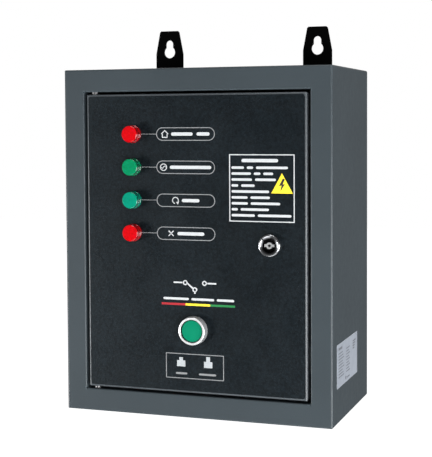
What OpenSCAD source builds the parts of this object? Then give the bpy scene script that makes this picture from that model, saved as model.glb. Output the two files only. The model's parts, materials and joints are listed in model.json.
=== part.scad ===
// Wall-hung transfer switch box: a folded steel enclosure with an inset
// hinged door, pilot lamps, a latching mode button and a cam lock, and
// two interlocked contactors with their terminals and wiring inside.
// Frame: X to the right, Y into the wall, Z up, millimetres. The origin is
// on the wall plane, midway between the centres of the two keyholes.

/* [Enclosure] */
// Width across the sides
box_w = 290; // [280:5:320]
// Height of the box, without the wall lugs
box_h = 360; // [355:5:380]
// Depth from the rim's front face to the back of the box
box_d = 160; // [160:5:180]
// Thickness of the sheet steel
sheet = 1.5; // [1.2:0.1:1.5]
// Outside radius of the folded edges
bend_r = 2; // [1.6:0.1:2.4]
// Width of the rim at each side of the door opening
rim_side = 22.5; // [21:0.5:24]
// Width of the rim above and below the door opening
rim_end = 23.5; // [22:0.5:25]
// Depth to which the rim folds back around the opening
rim_fold = 16; // [15:0.5:16]

/* [Door] */
// Gap between the door and the rim at each side
door_gap_side = 3.2; // [3.2:0.1:4]
// Gap between the door and the rim above and below
door_gap_end = 2.6; // [2.4:0.1:3]
// Depth of the door's folded edge
door_fold = 11; // [10:0.5:11]
// Distance of the hinge axis from the door's left edge
hinge_inset = 7; // [6.5:0.5:7]
// Depth of the hinge axis behind the door's face
hinge_depth = 7; // [6.5:0.5:7]
// Radius of the hinge pins
hinge_pin_r = 2; // [1.5:0.5:2]

/* [Controls] */
// Height of the top pilot lamp above the bottom of the box
lamp_top = 292.5; // [285:0.5:300]
// Height between one pilot lamp and the next
lamp_pitch = 34; // [32:0.2:36]
// Distance of the pilot lamps left of the centre line
lamp_left = 66.5; // [60:0.5:70]
// Height of the mode button above the bottom of the box
button_height = 91.5; // [85:0.5:95]
// Distance of the mode button right of the centre line
button_right = -0.6; // [-3:0.2:3]
// Outer radius of the mode button's bezel
button_bezel_r = 14.3; // [14:0.1:15]
// Travel of the mode button
button_travel = 4; // [3:0.5:4]
// Distance of the lock right of the centre line
lock_right = 81; // [78:0.5:84]
// Height of the lock above the bottom of the box
lock_height = 181; // [170:1:190]
// Length of the lock's cam from its shaft's centre
cam_reach = 47; // [47:0.5:52]

/* [Wall lugs] */
// Distance between the two keyholes
lug_span = 177; // [170:1:185]
// Height of the keyholes above the top of the box
hole_rise = 26; // [24:1:30]
// Radius of the keyhole's round part
keyhole_r = 6.8; // [6.5:0.1:7]
// Radius of the keyhole's slot
keyhole_slot_r = 4.5; // [4:0.1:4.6]
// Thickness of the lugs
lug_t = 2.5; // [2:0.5:3]

/* [Cable glands] */
// Radius of the cable that the large glands take
gland_bore_r = 7.5; // [6:0.5:8]
// Distance between neighbouring glands
gland_pitch = 52; // [48:1:56]

/* [Hidden] */
$fn = 48;

// Door opening and door, in the box frame: X from the centre line, Y from
// the front face, Z from the bottom
open_w = box_w - 2 * rim_side;
open_h = box_h - 2 * rim_end;
door_w = open_w - 2 * door_gap_side;
door_h = open_h - 2 * door_gap_end;
door_z = rim_end + door_gap_end;
hinge_x = -door_w / 2 + hinge_inset;
film = 0.35;
film_inset = 2.2;
pin_fit = 0.05;

// Mounting plate and rails
plate_w = 246;
plate_h = 316;
plate_z = (box_h - plate_h) / 2;
plate_y = box_d - sheet - 12.5;
rail_d = 7.5;
rail_y = plate_y - rail_d;
contactor_z = 165;
terminal_z = 80;
upper_rail_z = 287;

// Contactors
contactor_w = 45;
contactor_h = 76;
contactor_x = 29;
contactor_base_d = 48;
contactor_cover_d = 32;
contactor_cover_h = 46;
contactor_front = rail_y - contactor_base_d - contactor_cover_d;
pole_pitch = 10.6;
carriage_w = 12;
carriage_h = 8;

// Terminals
terminal_count = 13;
terminal_pitch = 8.2;
terminal_w = 8;
terminal_d = 40;
terminal_h = 44;
terminal_front = rail_y - terminal_d;
function terminal_x(i) = (i - (terminal_count - 1) / 2) * terminal_pitch - 20;

// Fuse holders, relay and control module
fuse_w = 17.6;
fuse_h = 76;
fuse_d = 44;
fuse_slot_w = 14;
fuse_reach = 40;
fuse_link_low = 4;
fuse_link_h = 28;
fuse_pivot_y = rail_y - fuse_d + 2.5;
fuse_pivot_z = upper_rail_z - 18;
fuse_x = 84;
relay_x = 40;
module_w = 96;
module_h = 76;
module_d = 38;
module_x = -54;

// Glands
gland_y = 128;
gland_hole_r = 12.5;
gland_cut_w = 216;
gland_cut_y = 100;
gland_cut_d = 54;
function gland_x(i) = (i - 1.5) * gland_pitch;
function gland_scale(i) = i == 3 ? 0.8 : 1;

// Wires
wire_r = 2.3;
thin_r = 1.1;
wire_sides = 8;

// ---------- helpers ----------

module in_box()
    translate([0, -box_d - lug_t, -box_h - hole_rise]) children();

// A flat shape drawn in X and Z, made solid from y0 to y0 + t
module plate_at(y0, t)
    translate([0, y0 + t, 0]) rotate([90, 0, 0]) linear_extrude(t) children();

// A round rod along Y
module rod_y(x, z, y0, y1, r)
    translate([x, y0, z]) rotate([-90, 0, 0]) cylinder(h = y1 - y0, r = r);

// A hexagonal rod along Y, with the distance across its corners halved as r
module hex_y(x, z, y0, y1, r)
    translate([x, y0, z]) rotate([-90, 0, 0]) cylinder(h = y1 - y0, r = r, $fn = 6);

// A body turned about an axis along Y, drawn as radius and distance
// outwards from the plane y0
module turned_out(x, z, y0)
    translate([x, y0, z]) rotate([90, 0, 0]) rotate_extrude() children();

module block(x0, x1, y0, y1, z0, z1)
    translate([x0, y0, z0]) cube([x1 - x0, y1 - y0, z1 - z0]);

module rounded_rect(w, h, r) {
    square([w - 2 * r, h], center = true);
    square([w, h - 2 * r], center = true);
    for (sx = [-1, 1], sy = [-1, 1])
        translate([sx * (w / 2 - r), sy * (h / 2 - r)]) circle(r);
}

// A w by d rectangle with its two front corners (low y) rounded
module front_rounded(w, d, r) {
    translate([-w / 2, r]) square([w, d - r]);
    translate([-w / 2 + r, 0]) square([w - 2 * r, r]);
    for (s = [-1, 1])
        translate([s * (w / 2 - r), r]) circle(r);
}

// A box whose front and side edges are folded round
module folded_box(w, h, d, r) intersection() {
    plate_at(0, d) translate([0, h / 2]) rounded_rect(w, h, r);
    linear_extrude(h) front_rounded(w, d, r);
    translate([-w / 2, 0, h / 2]) rotate([90, 0, 90]) linear_extrude(w)
        rotate(-90) mirror([1, 0]) front_rounded(h, d, r);
}

// The waste outside a rounded edge that runs along Z through the origin,
// for material on the low-x, high-y side
module edge_waste(length, r)
    translate([0, 0, -length / 2]) linear_extrude(length) difference() {
        translate([-r, -1]) square([r + 1, r + 1]);
        translate([-r, r]) circle(r);
        translate([-r - 1, r]) square([r + 1, 1]);
    }

// Bezier-rounded route through hand-placed points
function bend_at(a, b, c, r) = let (
        p = b + (a - b) / norm(a - b) * r,
        q = b + (c - b) / norm(c - b) * r
    ) [for (t = [0:0.25:1]) (1 - t) * (1 - t) * p + 2 * t * (1 - t) * b + t * t * q];
function route(pts, r) = concat(
    [pts[0]],
    [for (i = [1:len(pts) - 2]) each bend_at(pts[i - 1], pts[i], pts[i + 1], r)],
    [pts[len(pts) - 1]]);

// Direction of a route at its point i, and a ring of corners across it
function heading(p, i) = let (
        d = p[min(i + 1, len(p) - 1)] - p[max(i - 1, 0)]
    ) d / norm(d);
function ring(p, i, r, n) = let (
        t = heading(p, i),
        u = cross(t, [0.31, 0.52, 0.79]),
        v = u / norm(u),
        w = cross(t, v)
    ) [for (k = [0:n - 1]) p[i] + r * (cos(360 * k / n) * v + sin(360 * k / n) * w)];

module wire(pts, r, bend = 6, n = wire_sides) {
    p = route(pts, bend);
    m = len(p);
    corners = [for (i = [0:m - 1]) each ring(p, i, r, n)];
    faces = concat(
        [[for (k = [0:n - 1]) k]],
        [for (i = [0:m - 2], k = [0:n - 1])
            [i * n + k, (i + 1) * n + k, (i + 1) * n + (k + 1) % n, i * n + (k + 1) % n]],
        [[for (k = [n - 1:-1:0]) (m - 1) * n + k]]);
    polyhedron(corners, faces, convexity = 6);
}

// ---------- enclosure ----------

module opening_profile(grow = 0)
    translate([0, box_h / 2])
        square([open_w + 2 * grow, open_h + 2 * grow], center = true);

module gland_cutout() block(-gland_cut_w / 2, gland_cut_w / 2,
    gland_cut_y, gland_cut_y + gland_cut_d, -1, sheet + 1);

module enclosure_shell() in_box() color([0.30, 0.33, 0.36]) difference() {
    union() {
        difference() {
            folded_box(box_w, box_h, box_d, bend_r);
            block(-box_w / 2 + sheet, box_w / 2 - sheet, sheet, box_d + 1,
                sheet, box_h - sheet);
        }
        plate_at(0, rim_fold) opening_profile(sheet);
    }
    plate_at(-1, box_d) opening_profile();
    for (s = [-1, 1]) {
        translate([s * open_w / 2, 0, box_h / 2]) mirror([s > 0 ? 1 : 0, 0, 0])
            edge_waste(open_h + 2, bend_r - 0.5);
        translate([0, 0, box_h / 2 + s * open_h / 2]) rotate([0, s * -90, 0])
            mirror([1, 0, 0]) edge_waste(open_w + 2, bend_r - 0.5);
        translate([hinge_x, hinge_depth, box_h / 2 + s * (open_h / 2 + sheet / 2)])
            cylinder(h = 2 * sheet, r = hinge_pin_r, center = true);
    }
    gland_cutout();
    for (p = gland_screw_places)
        translate([p[0], p[1], -1]) cylinder(h = sheet + 2, r = 2);
}

lug_hole_z = [box_h - 14, box_h - 34];
lug_half_w = 16.5;
lug_tip_half_w = 10.2;
lug_tail = 48;
lug_shoulder = 24;
lug_tip = 50.5;
lug_chamfer = 1.5;

module back_panel() in_box() color([0.30, 0.33, 0.36])
    plate_at(box_d - sheet, sheet) difference() {
        translate([0, box_h / 2])
            square([box_w - 2 * sheet, box_h - 2 * sheet], center = true);
        for (s = [-1, 1], z = lug_hole_z)
            translate([s * lug_span / 2, z]) circle(2.5);
    }

// The lug's outline, measured from the middle of the box's top edge
module lug_outline() polygon([
    [-lug_half_w, -lug_tail], [lug_half_w, -lug_tail], [lug_half_w, lug_shoulder],
    [lug_tip_half_w + lug_chamfer, lug_tip - lug_chamfer], [lug_tip_half_w, lug_tip],
    [-lug_tip_half_w, lug_tip], [-lug_tip_half_w - lug_chamfer, lug_tip - lug_chamfer],
    [-lug_half_w, lug_shoulder]
]);

// A lug with a keyhole, chamfered shoulders and two countersunk holes
module wall_lug(s) in_box() color([0.07, 0.07, 0.08]) difference() {
    plate_at(box_d, lug_t) translate([s * lug_span / 2, box_h]) difference() {
        lug_outline();
        translate([0, hole_rise]) circle(keyhole_r);
        translate([0, hole_rise + 9.3]) circle(keyhole_slot_r);
        translate([-keyhole_slot_r, hole_rise])
            square([2 * keyhole_slot_r, 9.3]);
    }
    for (z = lug_hole_z) lug_screw_body(s, z);
}

module lug_screw_body(s, z) {
    rod_y(s * lug_span / 2, z, box_d - 9, box_d + lug_t, 2.5);
    translate([s * lug_span / 2, box_d, z]) rotate([-90, 0, 0])
        cylinder(h = lug_t, r1 = 2.5, r2 = 5);
}

module lug_left() wall_lug(-1);
module lug_right() wall_lug(1);

module lug_fasteners() in_box() color("silver")
    for (s = [-1, 1], z = lug_hole_z) {
        difference() {
            lug_screw_body(s, z);
            translate([s * lug_span / 2, box_d + lug_t, z]) for (a = [0, 90]) rotate([0, a, 0])
                cube([5.6, 2.6, 1.1], center = true);
        }
        difference() {
            hex_y(s * lug_span / 2, z, box_d - sheet - 4, box_d - sheet, 4.6);
            rod_y(s * lug_span / 2, z, box_d - sheet - 5, box_d, 2.5 + pin_fit);
        }
    }

// ---------- bottom entry ----------

gland_screw_places = [
    for (sx = [-1, 1], y = [gland_cut_y + 4, gland_cut_y + gland_cut_d - 8])
        [sx * (gland_cut_w / 2 + 5), y]
];

module gland_plate() in_box() color([0.62, 0.64, 0.66]) difference() {
    block(-gland_cut_w / 2 - 10, gland_cut_w / 2 + 10,
        gland_cut_y - 8, gland_cut_y + gland_cut_d + 2, sheet, sheet + 2);
    for (i = [0:3])
        translate([gland_x(i), gland_y, 0]) cylinder(h = 10, r = gland_hole_r * gland_scale(i));
    for (p = gland_screw_places)
        translate([p[0], p[1], 0]) cylinder(h = 10, r = 2);
}

module gland_plate_screws() in_box() color("silver")
    for (p = gland_screw_places) translate([p[0], p[1], 0]) difference() {
        union() {
            translate([0, 0, -2]) cylinder(h = sheet + 4, r = 2);
            translate([0, 0, sheet + 2]) cylinder(h = 2.4, r = 3.8);
        }
        for (a = [0, 90]) translate([0, 0, sheet + 4.4]) rotate(a)
            cube([4, 0.9, 2.4], center = true);
    }

module each_gland() for (i = [0:3])
    translate([gland_x(i), gland_y, 0]) {
        $size = gland_scale(i);
        children();
    }

module gland_bodies() in_box() color([0.10, 0.10, 0.11]) each_gland() difference() {
    union() {
        translate([0, 0, -4]) cylinder(h = sheet + 4, r = 18.5 * $size, $fn = 6);
        translate([0, 0, -13]) cylinder(h = 9, r = 12 * $size);
        cylinder(h = 13, r = gland_hole_r * $size);
    }
    translate([0, 0, -20]) cylinder(h = 40, r = 9 * $size);
}

module gland_seals() in_box() color([0.05, 0.05, 0.05]) each_gland() difference() {
    union() {
        translate([0, 0, -17]) cylinder(h = 11, r = 9 * $size);
        translate([0, 0, -17]) cylinder(h = 4, r = 11.5 * $size);
    }
    translate([0, 0, -20]) cylinder(h = 40, r = gland_bore_r * $size);
}

module gland_dome_nuts() in_box() color([0.12, 0.12, 0.13]) each_gland() difference() {
    union() {
        translate([0, 0, -14]) cylinder(h = 9.6, r = 18 * $size, $fn = 6);
        translate([0, 0, -22]) cylinder(h = 8.2, r1 = 12 * $size, r2 = 15.4 * $size);
    }
    translate([0, 0, -17]) cylinder(h = 20, r = 12 * $size);
    translate([0, 0, -30]) cylinder(h = 40, r = (gland_bore_r + 0.8) * $size);
}

module gland_locknuts() in_box() color([0.12, 0.12, 0.13]) each_gland() difference() {
    translate([0, 0, sheet + 2]) cylinder(h = 5, r = 17.5 * $size, $fn = 6);
    cylinder(h = 20, r = gland_hole_r * $size);
}

// ---------- hinge and stops ----------

// Headed pins through the folded rim, with a collar that spaces the door
module hinge_pins() in_box() color("silver") for (s = [-1, 1])
    translate([hinge_x, hinge_depth, box_h / 2]) mirror([0, 0, s < 0 ? 1 : 0]) {
        translate([0, 0, open_h / 2 - 9]) cylinder(h = 9 + sheet, r = hinge_pin_r);
        translate([0, 0, open_h / 2 + sheet]) cylinder(h = 2.4, r = 2 * hinge_pin_r);
        translate([0, 0, open_h / 2 - door_gap_end + 0.4])
            cylinder(h = door_gap_end - 0.4, r = 1.9 * hinge_pin_r);
    }

module door_stops() in_box() color([0.30, 0.33, 0.36]) for (z = [70, box_h - 70]) {
    x = open_w / 2;
    block(x - 5.5, x, door_fold + 0.4, door_fold + 0.4 + sheet, z - 10, z + 10);
    block(x - sheet, x, door_fold + 0.4 + sheet, rim_fold, z - 10, z + 10);
}

// ---------- mounting plate ----------

stud_places = [for (sx = [-1, 1], z = [plate_z + 14, plate_z + plate_h - 14]) [sx * 112, z]];

module plate_studs() in_box() color("silver") for (p = stud_places)
    rod_y(p[0], p[1], plate_y - 11, box_d - sheet, 3);

module plate_nuts() in_box() color("silver") for (p = stud_places) difference() {
    union() {
        hex_y(p[0], p[1], plate_y - 6.4, plate_y - 1.4, 5.7);
        rod_y(p[0], p[1], plate_y - 1.4, plate_y, 6.5);
        hex_y(p[0], p[1], plate_y + sheet, plate_y + sheet + 5, 5.7);
    }
    rod_y(p[0], p[1], plate_y - 20, box_d, 3);
    rod_y(p[0], p[1], plate_y, plate_y + sheet, 9);
}

module mounting_plate() in_box() color([0.72, 0.73, 0.74]) plate_at(plate_y, sheet)
    difference() {
        translate([0, box_h / 2]) rounded_rect(plate_w, plate_h, 4);
        for (p = stud_places) translate(p) circle(3);
    }

rail_slot_pitch = 25;
rail_slot_half = 4.4;
rail_slot_r = 3.1;

// Top-hat rail of 35 mm across its flanges, with a row of slots in its floor
module din_rail(x0, x1, z) {
    difference() {
        block(x0, x1, plate_y - 1, plate_y, z - 13.5, z + 13.5);
        for (x = [x0 + rail_slot_pitch / 2:rail_slot_pitch:x1 - rail_slot_pitch / 2]) {
            block(x - rail_slot_half, x + rail_slot_half, plate_y - 2, plate_y + 1,
                z - rail_slot_r, z + rail_slot_r);
            for (s = [-1, 1])
                rod_y(x + s * rail_slot_half, z, plate_y - 2, plate_y + 1, rail_slot_r);
        }
    }
    for (s = [-1, 1]) {
        block(x0, x1, rail_y, plate_y - 1, z + s * 13 - 0.5, z + s * 13 + 0.5);
        block(x0, x1, rail_y, rail_y + 1, z + (s > 0 ? 13.5 : -17.5), z + (s > 0 ? 17.5 : -13.5));
    }
}

module din_rails() in_box() color([0.78, 0.78, 0.74]) {
    din_rail(-72, 72, contactor_z);
    din_rail(-100, 52, terminal_z);
    din_rail(14, 118, upper_rail_z);
}

// ---------- contactors ----------

function pole_x(i) = (i - 1.5) * pole_pitch;
pole_pocket = 8.6;
pole_pocket_d = 15;
pole_pocket_h = 12;

module contactor_base(x) in_box() color([0.86, 0.86, 0.82]) {
    front = rail_y - contactor_base_d;
    difference() {
        union() {
            block(x - contactor_w / 2, x + contactor_w / 2, front, rail_y - 9,
                contactor_z - contactor_h / 2, contactor_z + contactor_h / 2);
            block(x - contactor_w / 2, x + contactor_w / 2, rail_y - 9, rail_y,
                contactor_z - contactor_h / 2 + 5, contactor_z + contactor_h / 2 - 5);
        }
        for (i = [0:3], s = [-1, 1]) {
            edge = contactor_z + s * contactor_h / 2;
            block(x + pole_x(i) - pole_pocket / 2, x + pole_x(i) + pole_pocket / 2,
                front - 1, front + pole_pocket_d,
                min(edge, edge - s * pole_pocket_h) - (s < 0 ? 1 : 0),
                max(edge, edge - s * pole_pocket_h) + (s > 0 ? 1 : 0));
        }
    }
}

module house_contactor_base() contactor_base(-contactor_x);
module generator_contactor_base() contactor_base(contactor_x);

module contactor_cover(x) in_box() color([0.20, 0.21, 0.23]) {
    back = rail_y - contactor_base_d;
    hz = contactor_cover_h / 2;
    difference() {
        union() {
            block(x - contactor_w / 2, x + contactor_w / 2, back - 18, back,
                contactor_z - hz, contactor_z + hz);
            block(x - contactor_w / 2 + 2, x + contactor_w / 2 - 2, contactor_front,
                back - 18, contactor_z - hz + 4, contactor_z + hz - 4);
        }
        block(x - carriage_w / 2 - 0.3, x + carriage_w / 2 + 0.3, contactor_front - 1,
            back, contactor_z - carriage_h / 2 - 0.3, contactor_z + carriage_h / 2 + 0.3);
        block(x - 16, x + 16, contactor_front + 12, back + 1,
            contactor_z - 15, contactor_z + 15);
    }
}

module house_contactor_cover() contactor_cover(-contactor_x);
module generator_contactor_cover() contactor_cover(contactor_x);

// The moving contact carriage: a front stub in the cover's window and a
// crossbar in the hollow behind it
module carriage(x) in_box() color([0.93, 0.93, 0.90]) {
    block(x - carriage_w / 2, x + carriage_w / 2, contactor_front - 2, contactor_front + 16,
        contactor_z - carriage_h / 2, contactor_z + carriage_h / 2);
    block(x - 14, x + 14, contactor_front + 16, contactor_front + 22,
        contactor_z - 13, contactor_z + 13);
}

module house_carriage() carriage(-contactor_x);
module generator_carriage() carriage(contactor_x);

// A slotted clamping screw seen from the front
module clamp_screw(x, z, y, r, h) difference() {
    rod_y(x, z, y - h, y, r);
    block(x - r, x + r, y - h - 1, y - h + 0.9, z - 0.45, z + 0.45);
}

module interlock_block() in_box() color([0.16, 0.17, 0.19]) {
    w = contactor_x - contactor_w / 2 - 0.2;
    difference() {
        block(-w, w, contactor_front + 20, rail_y, contactor_z - 30, contactor_z + 30);
        rod_y(0, contactor_z + 20, contactor_front + 19, contactor_front + 24, 2.6);
        rod_y(0, contactor_z - 20, contactor_front + 19, contactor_front + 24, 2.6);
    }
}

// ---------- terminals ----------

module terminal_blocks() in_box() color([0.62, 0.63, 0.64]) for (i = [0:terminal_count - 1])
    translate([terminal_x(i) - terminal_w / 2, 0, 0]) difference() {
        rotate([90, 0, 90]) linear_extrude(terminal_w) polygon([
            [rail_y, terminal_z - 19], [rail_y, terminal_z + 19],
            [rail_y - 12, terminal_z + terminal_h / 2], [rail_y - 30, terminal_z + terminal_h / 2],
            [terminal_front + 4, terminal_z + 14], [terminal_front, terminal_z + 10],
            [terminal_front, terminal_z - 10], [terminal_front + 4, terminal_z - 14],
            [rail_y - 30, terminal_z - terminal_h / 2], [rail_y - 12, terminal_z - terminal_h / 2]
        ]);
        for (s = [-1, 1]) {
            rod_y(terminal_w / 2, terminal_z + s * 7, terminal_front - 1, terminal_front + 9, 2.6);
            translate([terminal_w / 2, rail_y - 21, terminal_z + s * terminal_h / 2])
                cube([5.4, 7, 12], center = true);
        }
    }

module terminal_end_stops() in_box() color([0.45, 0.46, 0.47])
    for (x = [terminal_x(0) - 8.6, terminal_x(terminal_count - 1) + 8.6]) difference() {
        block(x - 4, x + 4, rail_y - 28, rail_y, terminal_z - 22, terminal_z + 22);
        block(x - 5, x + 5, rail_y - 29, rail_y - 14, terminal_z + 9, terminal_z + 23);
        block(x - 5, x + 5, rail_y - 29, rail_y - 14, terminal_z - 23, terminal_z - 9);
    }

// ---------- fuse holders ----------

module fuse_base(x) {
    front = rail_y - fuse_d;
    difference() {
        union() {
            block(x - fuse_w / 2, x + fuse_w / 2, front, rail_y - 18,
                upper_rail_z - 23, upper_rail_z + 27);
            block(x - fuse_w / 2, x + fuse_w / 2, rail_y - 26, rail_y,
                upper_rail_z - fuse_h / 2, upper_rail_z + fuse_h / 2);
        }
        block(x - fuse_slot_w / 2, x + fuse_slot_w / 2, front - 1, front + 23,
            fuse_pivot_z - 3, fuse_pivot_z + fuse_reach + 1.2);
        for (s = [-1, 1])
            rod_y(x, upper_rail_z + s * (fuse_h / 2 - 6), rail_y - 27, rail_y - 20, 3.2);
    }
    translate([x - fuse_slot_w / 2, fuse_pivot_y, fuse_pivot_z]) rotate([0, 90, 0])
        cylinder(h = fuse_slot_w, r = 1.4);
}

module fuse_bases() in_box() color([0.88, 0.88, 0.85])
    for (s = [-1, 1]) fuse_base(fuse_x + s * (fuse_w / 2 + 0.2));

// A carrier that swings out about the pin at its lower front corner
module fuse_carrier(s) in_box() color([0.80, 0.81, 0.80])
    translate([fuse_x + s * (fuse_w / 2 + 0.2), fuse_pivot_y, fuse_pivot_z]) {
        w = fuse_slot_w - 0.8;
        rotate([90, 0, 90]) translate([0, 0, -w / 2]) linear_extrude(w) difference() {
            union() {
                circle(2.4);
                intersection() {
                    circle(fuse_reach);
                    union() {
                        translate([-2.4, 0]) square([22, fuse_reach]);
                        translate([0, -2.4]) square([19.6, 3]);
                    }
                }
                translate([-6.5, 27]) square([4.2, 8]);
            }
            circle(1.4 + pin_fit);
            translate([7, fuse_link_low]) square([20, fuse_link_h]);
        }
    }

module fuse_carrier_left() fuse_carrier(-1);
module fuse_carrier_right() fuse_carrier(1);

module fuse_link(s) in_box() color([0.93, 0.92, 0.88])
    translate([fuse_x + s * (fuse_w / 2 + 0.2), fuse_pivot_y + 13, fuse_pivot_z + fuse_link_low])
        cylinder(h = fuse_link_h, r = 5);

module fuse_link_left() fuse_link(-1);
module fuse_link_right() fuse_link(1);

// ---------- relay and control module ----------

module relay_socket() in_box() color([0.14, 0.15, 0.17]) difference() {
    union() {
        block(relay_x - 14, relay_x + 14, rail_y - 18, rail_y, upper_rail_z - 38, upper_rail_z + 38);
        for (s = [-1, 1]) block(relay_x - 14, relay_x + 14, rail_y - 28, rail_y - 18,
            upper_rail_z + (s > 0 ? 19 : -38), upper_rail_z + (s > 0 ? 38 : -19));
    }
    for (s = [-1, 1], k = [-1, 0, 1])
        rod_y(relay_x + k * 8.6, upper_rail_z + s * 30, rail_y - 29, rail_y - 20, 2.8);
}

module relay() in_box() color([0.78, 0.84, 0.88]) {
    plate_at(rail_y - 52, 30) translate([relay_x, upper_rail_z]) rounded_rect(26.6, 36, 2);
    plate_at(rail_y - 22, 4) translate([relay_x, upper_rail_z]) square([27.6, 37], center = true);
}

module control_module() in_box() color([0.15, 0.16, 0.18]) difference() {
    union() {
        plate_at(plate_y - module_d, module_d) translate([module_x, upper_rail_z])
            rounded_rect(module_w, module_h, 3);
        plate_at(plate_y - 3, 3) translate([module_x, upper_rail_z])
            rounded_rect(module_w + 8, 30, 3);
    }
    block(module_x - module_w / 2 + 8, module_x + module_w / 2 - 8,
        plate_y - module_d - 1, plate_y - module_d + 12,
        upper_rail_z - module_h / 2 - 1, upper_rail_z - module_h / 2 + 13);
    plate_at(plate_y - module_d - 1, 2) translate([module_x, upper_rail_z + 8])
        rounded_rect(module_w - 16, 44, 2);
}

module_way = 8;
function module_way_x(i) = module_x + (i - 4.5) * module_way;

module control_module_terminals() in_box() color([0.10, 0.45, 0.28])
    for (i = [0:9]) difference() {
        block(module_way_x(i) - 3.9, module_way_x(i) + 3.9,
            plate_y - module_d + 3, plate_y - module_d + 12,
            upper_rail_z - module_h / 2 + 1, upper_rail_z - module_h / 2 + 12.5);
        rod_y(module_way_x(i), upper_rail_z - module_h / 2 + 8.6,
            plate_y - module_d + 2, plate_y - module_d + 7, 2.2);
        block(module_way_x(i) - 2.4, module_way_x(i) + 2.4,
            plate_y - module_d + 5, plate_y - module_d + 10,
            upper_rail_z - module_h / 2, upper_rail_z - module_h / 2 + 4);
    }

earth_x = 88;
earth_z = 62;
function earth_hole_x(i) = earth_x + (i - 2) * 10;

module earth_bar() in_box() color([0.80, 0.62, 0.25]) {
    difference() {
        block(earth_x - 30, earth_x + 30, plate_y - 14, plate_y - 6, earth_z - 5, earth_z + 5);
        for (i = [0:4]) {
            rod_y(earth_hole_x(i), earth_z, plate_y - 15, plate_y - 8, 2);
            translate([earth_hole_x(i), plate_y - 9, earth_z - 6]) cylinder(h = 7, r = 1.8);
        }
    }
    for (s = [-1, 1]) block(earth_x + s * 27 - 3, earth_x + s * 27 + 3,
        plate_y - 6, plate_y, earth_z - 5, earth_z + 5);
}

// All slotted clamping screws: contactor poles, terminals and earth bar
module clamp_screws() in_box() color([0.80, 0.79, 0.72]) {
    for (x = [-contactor_x, contactor_x], i = [0:3], s = [-1, 1])
        clamp_screw(x + pole_x(i), contactor_z + s * (contactor_h / 2 - 6),
            rail_y - contactor_base_d + pole_pocket_d, 3.6, 7);
    for (i = [0:terminal_count - 1], s = [-1, 1])
        clamp_screw(terminal_x(i), terminal_z + s * 7, terminal_front + 9, 2.4, 6);
    for (i = [0:4]) {
        rod_y(earth_hole_x(i), earth_z, plate_y - 14, plate_y - 11.5, 2);
        clamp_screw(earth_hole_x(i), earth_z, plate_y - 14, 3.6, 3);
    }
}

module rating_label() in_box() color([0.67, 0.70, 0.73])
    block(box_w / 2, box_w / 2 + 0.25, 17.5, 108.5, 36.2, 80.6);

// ---------- wiring inside the box ----------

pocket_y = rail_y - contactor_base_d + 12;
bridge_y = pocket_y - 5;
front_bridge_y = bridge_y - 6;
top_pole_z = contactor_z + contactor_h / 2 - 2;
low_pole_z = contactor_z - contactor_h / 2 + 2;
entry_y = rail_y - 21;
entry_top = terminal_z + terminal_h / 2 - 5;
entry_low = terminal_z - terminal_h / 2 + 5;

// From a terminal's upper entry, past a contactor, into one of its top poles
module supply_wire(way, pole, contactor, side_x, y, low_z, high_z)
    wire([
        [terminal_x(way), entry_y, entry_top],
        [terminal_x(way), entry_y, low_z],
        [terminal_x(way), y, low_z + 1],
        [side_x, y, low_z + 1],
        [side_x, y, high_z],
        [contactor + pole_x(pole), y, high_z],
        [contactor + pole_x(pole), pocket_y, high_z - 1],
        [contactor + pole_x(pole), pocket_y, top_pole_z]
    ], wire_r, 4);

module house_wires() in_box() color([0.45, 0.27, 0.14]) for (k = [0, 1])
    supply_wire(k, k, -contactor_x, -66 + 6 * k, 126, 118 - 6 * k, 225 - 7 * k);

module generator_wires() in_box() color([0.10, 0.10, 0.10]) for (k = [0, 1])
    supply_wire(2 + k, 3 - k, contactor_x, 66 - 6 * k, 133.5, 112 + 6 * k, 225 - 7 * k);

// The contactors' lower poles joined in pairs, and led to the load terminals
module load_wires() in_box() color([0.12, 0.22, 0.50]) for (k = [0, 1]) {
    house = -contactor_x + pole_x(k);
    generator = contactor_x + pole_x(k);
    low_z = k == 0 ? 119 : 111;
    y = k == 0 ? front_bridge_y : bridge_y;
    wire([
        [house, bridge_y, low_pole_z],
        [house, bridge_y - 0.1, low_z],
        [house, y - 0.2, low_z - 0.5],
        [generator, y - 0.2, low_z - 0.5],
        [generator, bridge_y - 0.1, low_z],
        [generator, bridge_y, low_pole_z]
    ], wire_r, k == 0 ? 2.5 : 0.05);
    wire([
        [house, pocket_y + 0.4, low_pole_z],
        [house, pocket_y + 0.4, low_z],
        [terminal_x(4 + k), entry_y, low_z - 1],
        [terminal_x(4 + k), entry_y, entry_top]
    ], wire_r, 4);
}

control_count = 6;
loom_x = -104;
thin_gap = 2.8;

module control_wires() in_box() color([0.55, 0.10, 0.10]) for (k = [0:control_count - 1]) {
    way = 6 + k;
    x = loom_x - k * thin_gap;
    z = 50 - k * thin_gap;
    top = 227 + k * thin_gap;
    goal = module_way_x(control_count - 1 - k);
    wire([
        [terminal_x(way), entry_y, entry_low],
        [terminal_x(way), entry_y, z],
        [x, entry_y, z],
        [x, entry_y, top],
        [goal, plate_y - module_d + 7.5, top],
        [goal, plate_y - module_d + 7.5, upper_rail_z - module_h / 2 + 3]
    ], thin_r, 5, 6);
}

// ---------- door ----------

lamp_hole_r = 8.1;
button_hole_r = 11.1;
lock_hole_r = 9.5;
function lamp_z(i) = lamp_top - i * lamp_pitch;

module control_holes() {
    for (i = [0:3]) translate([-lamp_left, lamp_z(i)]) circle(lamp_hole_r);
    translate([button_right, button_height]) circle(button_hole_r);
    translate([lock_right, lock_height]) circle(lock_hole_r);
}

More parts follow.
